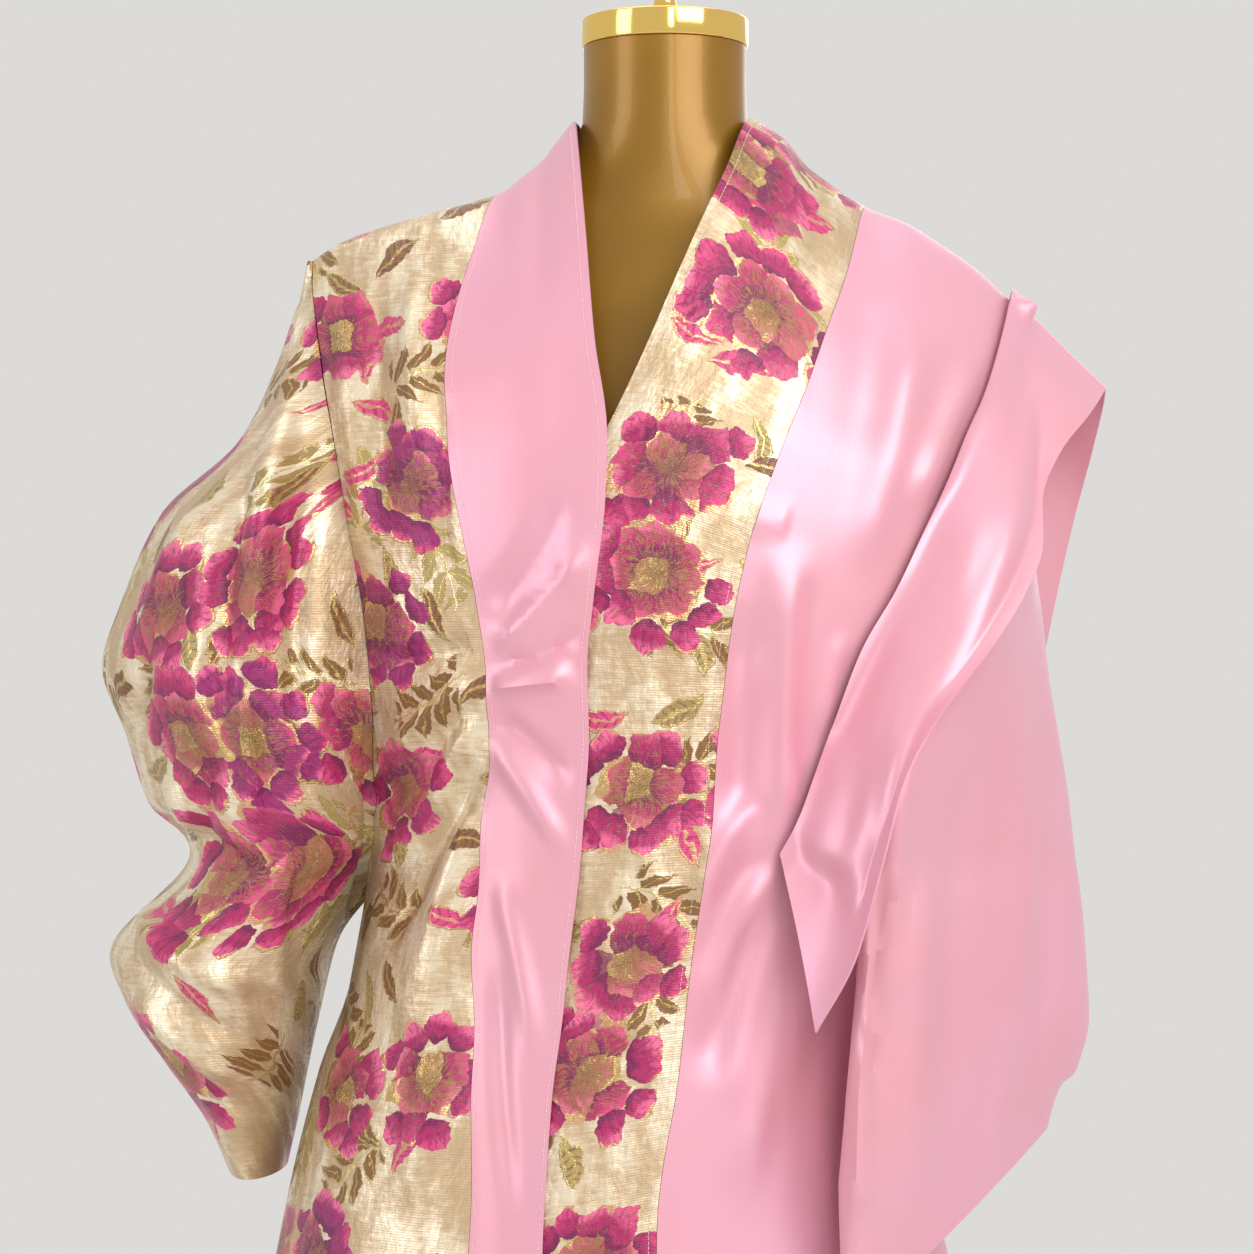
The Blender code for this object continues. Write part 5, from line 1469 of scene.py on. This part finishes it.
def lacquer():
    """The form's bronze-brown lacquer, with the faintest orange peel."""
    g = Graph("form_lacquer")
    peel, drift = g.in_solid([(420.0, 2.0), (9.0, 2.0)])
    tone = g.mix(g.step(drift, 0.35, 0.7), colour(0.250, 0.122, 0.006), colour(0.310, 0.155, 0.009))
    return g.finish(
        Base_Color=tone,
        Metallic=0.35,
        Roughness=drift * 0.1 + 0.30,
        Normal=g.bump(peel * 0.0003, 0.25),
        Coat_Weight=0.15,
    )


def polished(name, tone, roughness):
    """Polished metal with fine smears."""
    g = Graph(name)
    (smear,) = g.in_solid([(30.0, 3.0)])
    return g.finish(Base_Color=tone, Metallic=1.0, Roughness=smear * 0.06 + roughness)


def thread(name, tone):
    g = Graph(name)
    (twist,) = g.in_solid([(900.0, 1.0)])
    return g.finish(Base_Color=g.mix(twist, tone, colour(1.0, 0.9, 0.9)), Roughness=0.6)


# Stitches
def stitch_tree(spacing, length, radius, material):
    """A Geometry Nodes tree that sets a short capped thread at even steps along a curve."""
    tree = bpy.data.node_groups.new("stitches", "GeometryNodeTree")
    tree.interface.new_socket("Geometry", in_out="INPUT", socket_type="NodeSocketGeometry")
    tree.interface.new_socket("Geometry", in_out="OUTPUT", socket_type="NodeSocketGeometry")
    for name, value in (("Spacing", spacing), ("Length", length), ("Radius", radius)):
        socket = tree.interface.new_socket(name, in_out="INPUT", socket_type="NodeSocketFloat")
        socket.default_value = value
    nodes = tree.nodes
    source, result = nodes.new("NodeGroupInput"), nodes.new("NodeGroupOutput")
    points = nodes.new("GeometryNodeCurveToPoints")
    points.mode = "LENGTH"
    rod = nodes.new("GeometryNodeMeshCylinder")
    rod.inputs["Vertices"].default_value = 5
    turn = nodes.new("FunctionNodeAlignRotationToVector")
    turn.axis = "Z"
    placed = nodes.new("GeometryNodeInstanceOnPoints")
    whole = nodes.new("GeometryNodeRealizeInstances")
    paint = nodes.new("GeometryNodeSetMaterial")
    paint.inputs["Material"].default_value = material
    for giver, output, taker, entry in (
        (source, "Geometry", points, "Curve"),
        (source, "Spacing", points, "Length"),
        (source, "Length", rod, "Depth"),
        (source, "Radius", rod, "Radius"),
        (points, "Points", placed, "Points"),
        (points, "Tangent", turn, "Vector"),
        (turn, "Rotation", placed, "Rotation"),
        (rod, "Mesh", placed, "Instance"),
        (placed, "Instances", whole, "Geometry"),
        (whole, "Geometry", paint, "Geometry"),
        (paint, "Geometry", result, "Geometry"),
    ):
        tree.links.new(giver.outputs[output], taker.inputs[entry])
    return tree


def stitched(name, lines, material, spacing=0.0030, length=0.0022, radius=0.00022):
    """Running stitches along lines of points, as one mesh."""
    curve = bpy.data.curves.new(name + "_line", "CURVE")
    curve.dimensions = "3D"
    for line in lines:
        spline = curve.splines.new("POLY")
        spline.points.add(len(line) - 1)
        spline.points.foreach_set("co", np.column_stack([line, np.ones(len(line))]).ravel())
    holder = in_scene(name + "_line", curve)
    modifier = holder.modifiers.new("stitches", "NODES")
    modifier.node_group = stitch_tree(spacing, length, radius, material)
    evaluated = holder.evaluated_get(bpy.context.evaluated_depsgraph_get())
    mesh = bpy.data.meshes.new_from_object(evaluated)
    mesh.materials.clear()
    mesh.materials.append(material)
    bpy.data.objects.remove(holder)
    return in_scene(name, mesh)


def down_column(piece, columns, column, lift=0.00025):
    """The line down one column of a wall's outer face, which holds the first half of its points."""
    points = piece.data.vertices
    picked = range(column % columns, len(points) // 2, columns)
    return np.array([points[i].co + points[i].normal * lift for i in picked])


# The whole
# Each cloth piece's flat width and length in metres and area in square metres, measured on its grid, how it
# is held, and what it rests on.
CUTS = {
    "band_right": (0.106, 1.572, 0.105, "hung", ("front_right", "form_torso")),
    "band_left": (0.127, 1.597, 0.167, "hung", ("front_left", "form_torso")),
    "front_right": (0.331, 1.421, 0.277, "hung", ("form_torso",)),
    "front_left": (0.453, 1.487, 0.353, "hung", ("form_torso",)),
    "back_right": (0.502, 1.400, 0.446, "hung", ("form_torso",)),
    "back_left": (0.443, 1.387, 0.390, "hung", ("form_torso",)),
    "sleeve_right": (0.554, 0.710, 0.251, "gathered", ("front_right", "back_right")),
    "sleeve_left": (0.584, 0.857, 0.215, "hung", ("front_left", "back_left")),
    "shoulder_flap_left": (0.142, 0.937, 0.072, "hung", ("sleeve_left",)),
}

SATIN_OR_BROCADE = {
    "band_right": "satin",
    "band_left": "brocade",
    "front_right": "brocade",
    "front_left": "satin",
    "back_right": "brocade",
    "back_left": "satin",
    "sleeve_right": "brocade",
    "sleeve_left": "satin",
    "shoulder_flap_left": "satin",
}


def declare(piece, node, sewn=()):
    width, length, area, held, rests_on = CUTS[node]
    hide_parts(node)
    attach(piece, "root")
    list(rests_on)
    list(sewn)


def build():
    cloth = {"satin": satin(), "brocade": brocade()}
    pieces = {}

    def made(make, node, *sizes):
        return make("cloth_" + node, *sizes, cloth[SATIN_OR_BROCADE[node]])

    pieces["band_right"] = made(band, "band_right", RIGHT_FRONT, -1, OVERLAP_LIFT)
    pieces["band_left"] = made(band, "band_left", LEFT_FRONT, 1, 0.0)
    pieces["front_right"], right_front = made(front_panel, "front_right", RIGHT_FRONT, -1)
    pieces["front_left"], left_front = made(front_panel, "front_left", LEFT_FRONT, 1)
    pieces["back_right"], right_back = made(back_panel, "back_right", RIGHT_BACK, RIGHT_FRONT, -1)
    pieces["back_left"], left_back = made(back_panel, "back_left", LEFT_BACK, LEFT_FRONT, 1)
    pieces["sleeve_right"] = made(sleeve, "sleeve_right", RIGHT_SLEEVE, right_front, right_back, -1)
    pieces["sleeve_left"] = made(sleeve, "sleeve_left", LEFT_SLEEVE, left_front, left_back, 1)
    pieces["shoulder_flap_left"] = flap("cloth_shoulder_flap", FLAP, cloth["satin"])
    threads = {
        "satin": thread("pink_thread", colour(0.60, 0.24, 0.32)),
        "brocade": thread("bronze_thread", colour(0.34, 0.21, 0.08)),
    }
    sewn = {node: [] for node in pieces}
    for node in ("band_right", "band_left"):
        slot = SATIN_OR_BROCADE[node]
        lines = [down_column(pieces[node], BAND_COLUMNS + 1, column) for column in (1, -2)]
        stitches = stitched("stitches_" + node, lines, threads[slot])
        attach(stitches, "root")
        sewn[node].append(stitches)
    for node, piece in pieces.items():
        declare(piece, node, sewn[node])

    body = form_torso(lacquer())
    body.name = "form_smooth"
    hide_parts("form_torso")
    gold = polished("gold_polish", colour(0.90, 0.62, 0.17), 0.07)
    steel = polished("stand_metal", colour(0.80, 0.58, 0.20), 0.22)
    made = {"form_torso": body}
    for node, (outline, bottom, segments) in stand_outlines().items():
        metal = gold if node in ("neck_cap", "cap_knob") else steel
        piece = turned("smooth_" + node, outline, bottom, segments, metal)
        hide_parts(node)
        made[node] = piece
    for node, piece in made.items():
        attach(piece, "root")
        "form" if node == "form_torso" else "gold"


def stand_outlines():
    """Each turned piece's outline with its edges rounded, and where it starts."""
    rim = 0.003
    round_off = [
        (CAP_RADIUS - rim * (1 - math.sin(a)) / 2, CAP_HEIGHT - rim * (1 - math.cos(a)) / 2)
        for a in np.linspace(math.pi / 2, 0, 7)
    ]
    under_edge = [(CAP_RADIUS - 0.0010, 0.0), (CAP_RADIUS - 0.0003, 0.0004), (CAP_RADIUS, 0.0012)]
    cap = [*under_edge, *round_off, (0.030, CAP_HEIGHT)]
    knob = table(KNOB)
    stations = np.arange(len(knob["radius"]))
    fine = np.linspace(0, stations[-1], 60)
    knob_outline = list(zip(*(smooth(fine, stations, knob[size]) for size in KNOB["columns"])))
    pole_bottom = BASE_HEIGHT + FIT_GAP
    pole = [(POLE_RADIUS, 0.0), (POLE_RADIUS, FORM_BOTTOM - FIT_GAP - pole_bottom)]
    base = [
        (BASE_RADIUS - 0.001, 0.0),
        (BASE_RADIUS, 0.001),
        (BASE_RADIUS, 0.005),
        (BASE_RADIUS * 0.985, 0.0085),
        (BASE_RADIUS * 0.95, 0.0102),
        (BASE_RADIUS * 0.55, 0.0145),
        (0.034, 0.0172),
        (0.026, 0.0200),
        (0.021, BASE_HEIGHT),
    ]
    return {
        "neck_cap": (cap, CAP_BOTTOM, 128),
        "cap_knob": (knob_outline, CAP_BOTTOM + CAP_HEIGHT + FIT_GAP, 64),
        "stand_pole": (pole, pole_bottom, 48),
        "stand_base": (base, 0.0, 128),
    }


# Camera, light and floor
CAMERA_AT = (-0.025, -2.250, 1.131)
LENS = 97.9
SENSOR = 36.0
FLOOR_RADIUS = 2.6
FLOOR_DROP = 0.0005
FLOOR_CORNERS = 96

# Where each lamp stands, where it points, its width and height in metres, its watts, and its tint.
LAMPS = {
    "key": ((1.5, -2.2, 2.5), (0.0, 0.0, 1.15), (1.9, 1.9), 60, (1.0, 0.97, 0.94)),
    "left_window": ((-2.3, -1.4, 1.7), (0.0, 0.0, 1.1), (1.0, 2.0), 20, (0.97, 0.97, 1.0)),
    "top": ((0.0, 0.3, 3.0), (0.0, 0.0, 1.2), (1.6, 1.2), 11, (1.0, 1.0, 1.0)),
    "strip": ((0.35, -2.6, 1.9), (0.05, 0.0, 1.1), (0.25, 1.2), 7, (1.0, 1.0, 1.0)),
    "back_fill": ((0.6, 2.6, 2.0), (0.0, 0.0, 1.0), (2.0, 1.6), 14, (1.0, 1.0, 1.0)),
}


def lamp(name, at, towards, size, power, tint):
    light = bpy.data.lights.new(name, "AREA")
    light.shape = "RECTANGLE"
    light.size, light.size_y = size
    light.energy = power
    light.color = tint
    holder = in_scene(name, light)
    holder.location = at
    holder.rotation_mode = "QUATERNION"
    holder.rotation_quaternion = (Vector(towards) - Vector(at)).to_track_quat("-Z", "Y")


def studio():
    for name, sizes in LAMPS.items():
        lamp(name, *sizes)

    world = bpy.data.worlds.new("room")
    bpy.context.scene.world = world
    world.use_nodes = True
    sky = world.node_tree.nodes["Background"]
    sky.inputs["Color"].default_value = colour(0.80, 0.785, 0.765)
    sky.inputs["Strength"].default_value = 0.90

    g = Graph("floor")
    (mottle,) = g.in_solid([(3.0, 3.0)])
    floor_tone = g.mix(mottle, colour(0.74, 0.73, 0.72), colour(0.80, 0.79, 0.78))
    floor_look = g.finish(Base_Color=floor_tone, Roughness=0.7)
    turn = np.linspace(0, 2 * math.pi, FLOOR_CORNERS + 1)[:-1]
    level = np.full(FLOOR_CORNERS, -FLOOR_DROP)
    rim = np.stack([FLOOR_RADIUS * np.cos(turn), FLOOR_RADIUS * np.sin(turn), level], axis=-1)
    mesh = bpy.data.meshes.new("floor")
    mesh.from_pydata(rim.tolist(), [], [list(range(FLOOR_CORNERS))])
    floor = in_scene("floor", mesh)
    floor.data.materials.append(floor_look)
    floor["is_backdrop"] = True

    camera = bpy.data.cameras.new("camera")
    camera.lens = LENS
    camera.sensor_width = SENSOR
    camera.clip_start = 0.05
    holder = in_scene("camera", camera)
    holder.location = CAMERA_AT
    holder.rotation_euler = (math.pi / 2, 0.0, 0.0)
    bpy.context.scene.camera = holder
    bpy.context.scene.view_settings.view_transform = "Standard"


def corners(bounds):
    low, high = bounds
    return [list(low), list(high)]


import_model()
before = corners(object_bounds())
studio()
build()
after = corners(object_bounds())
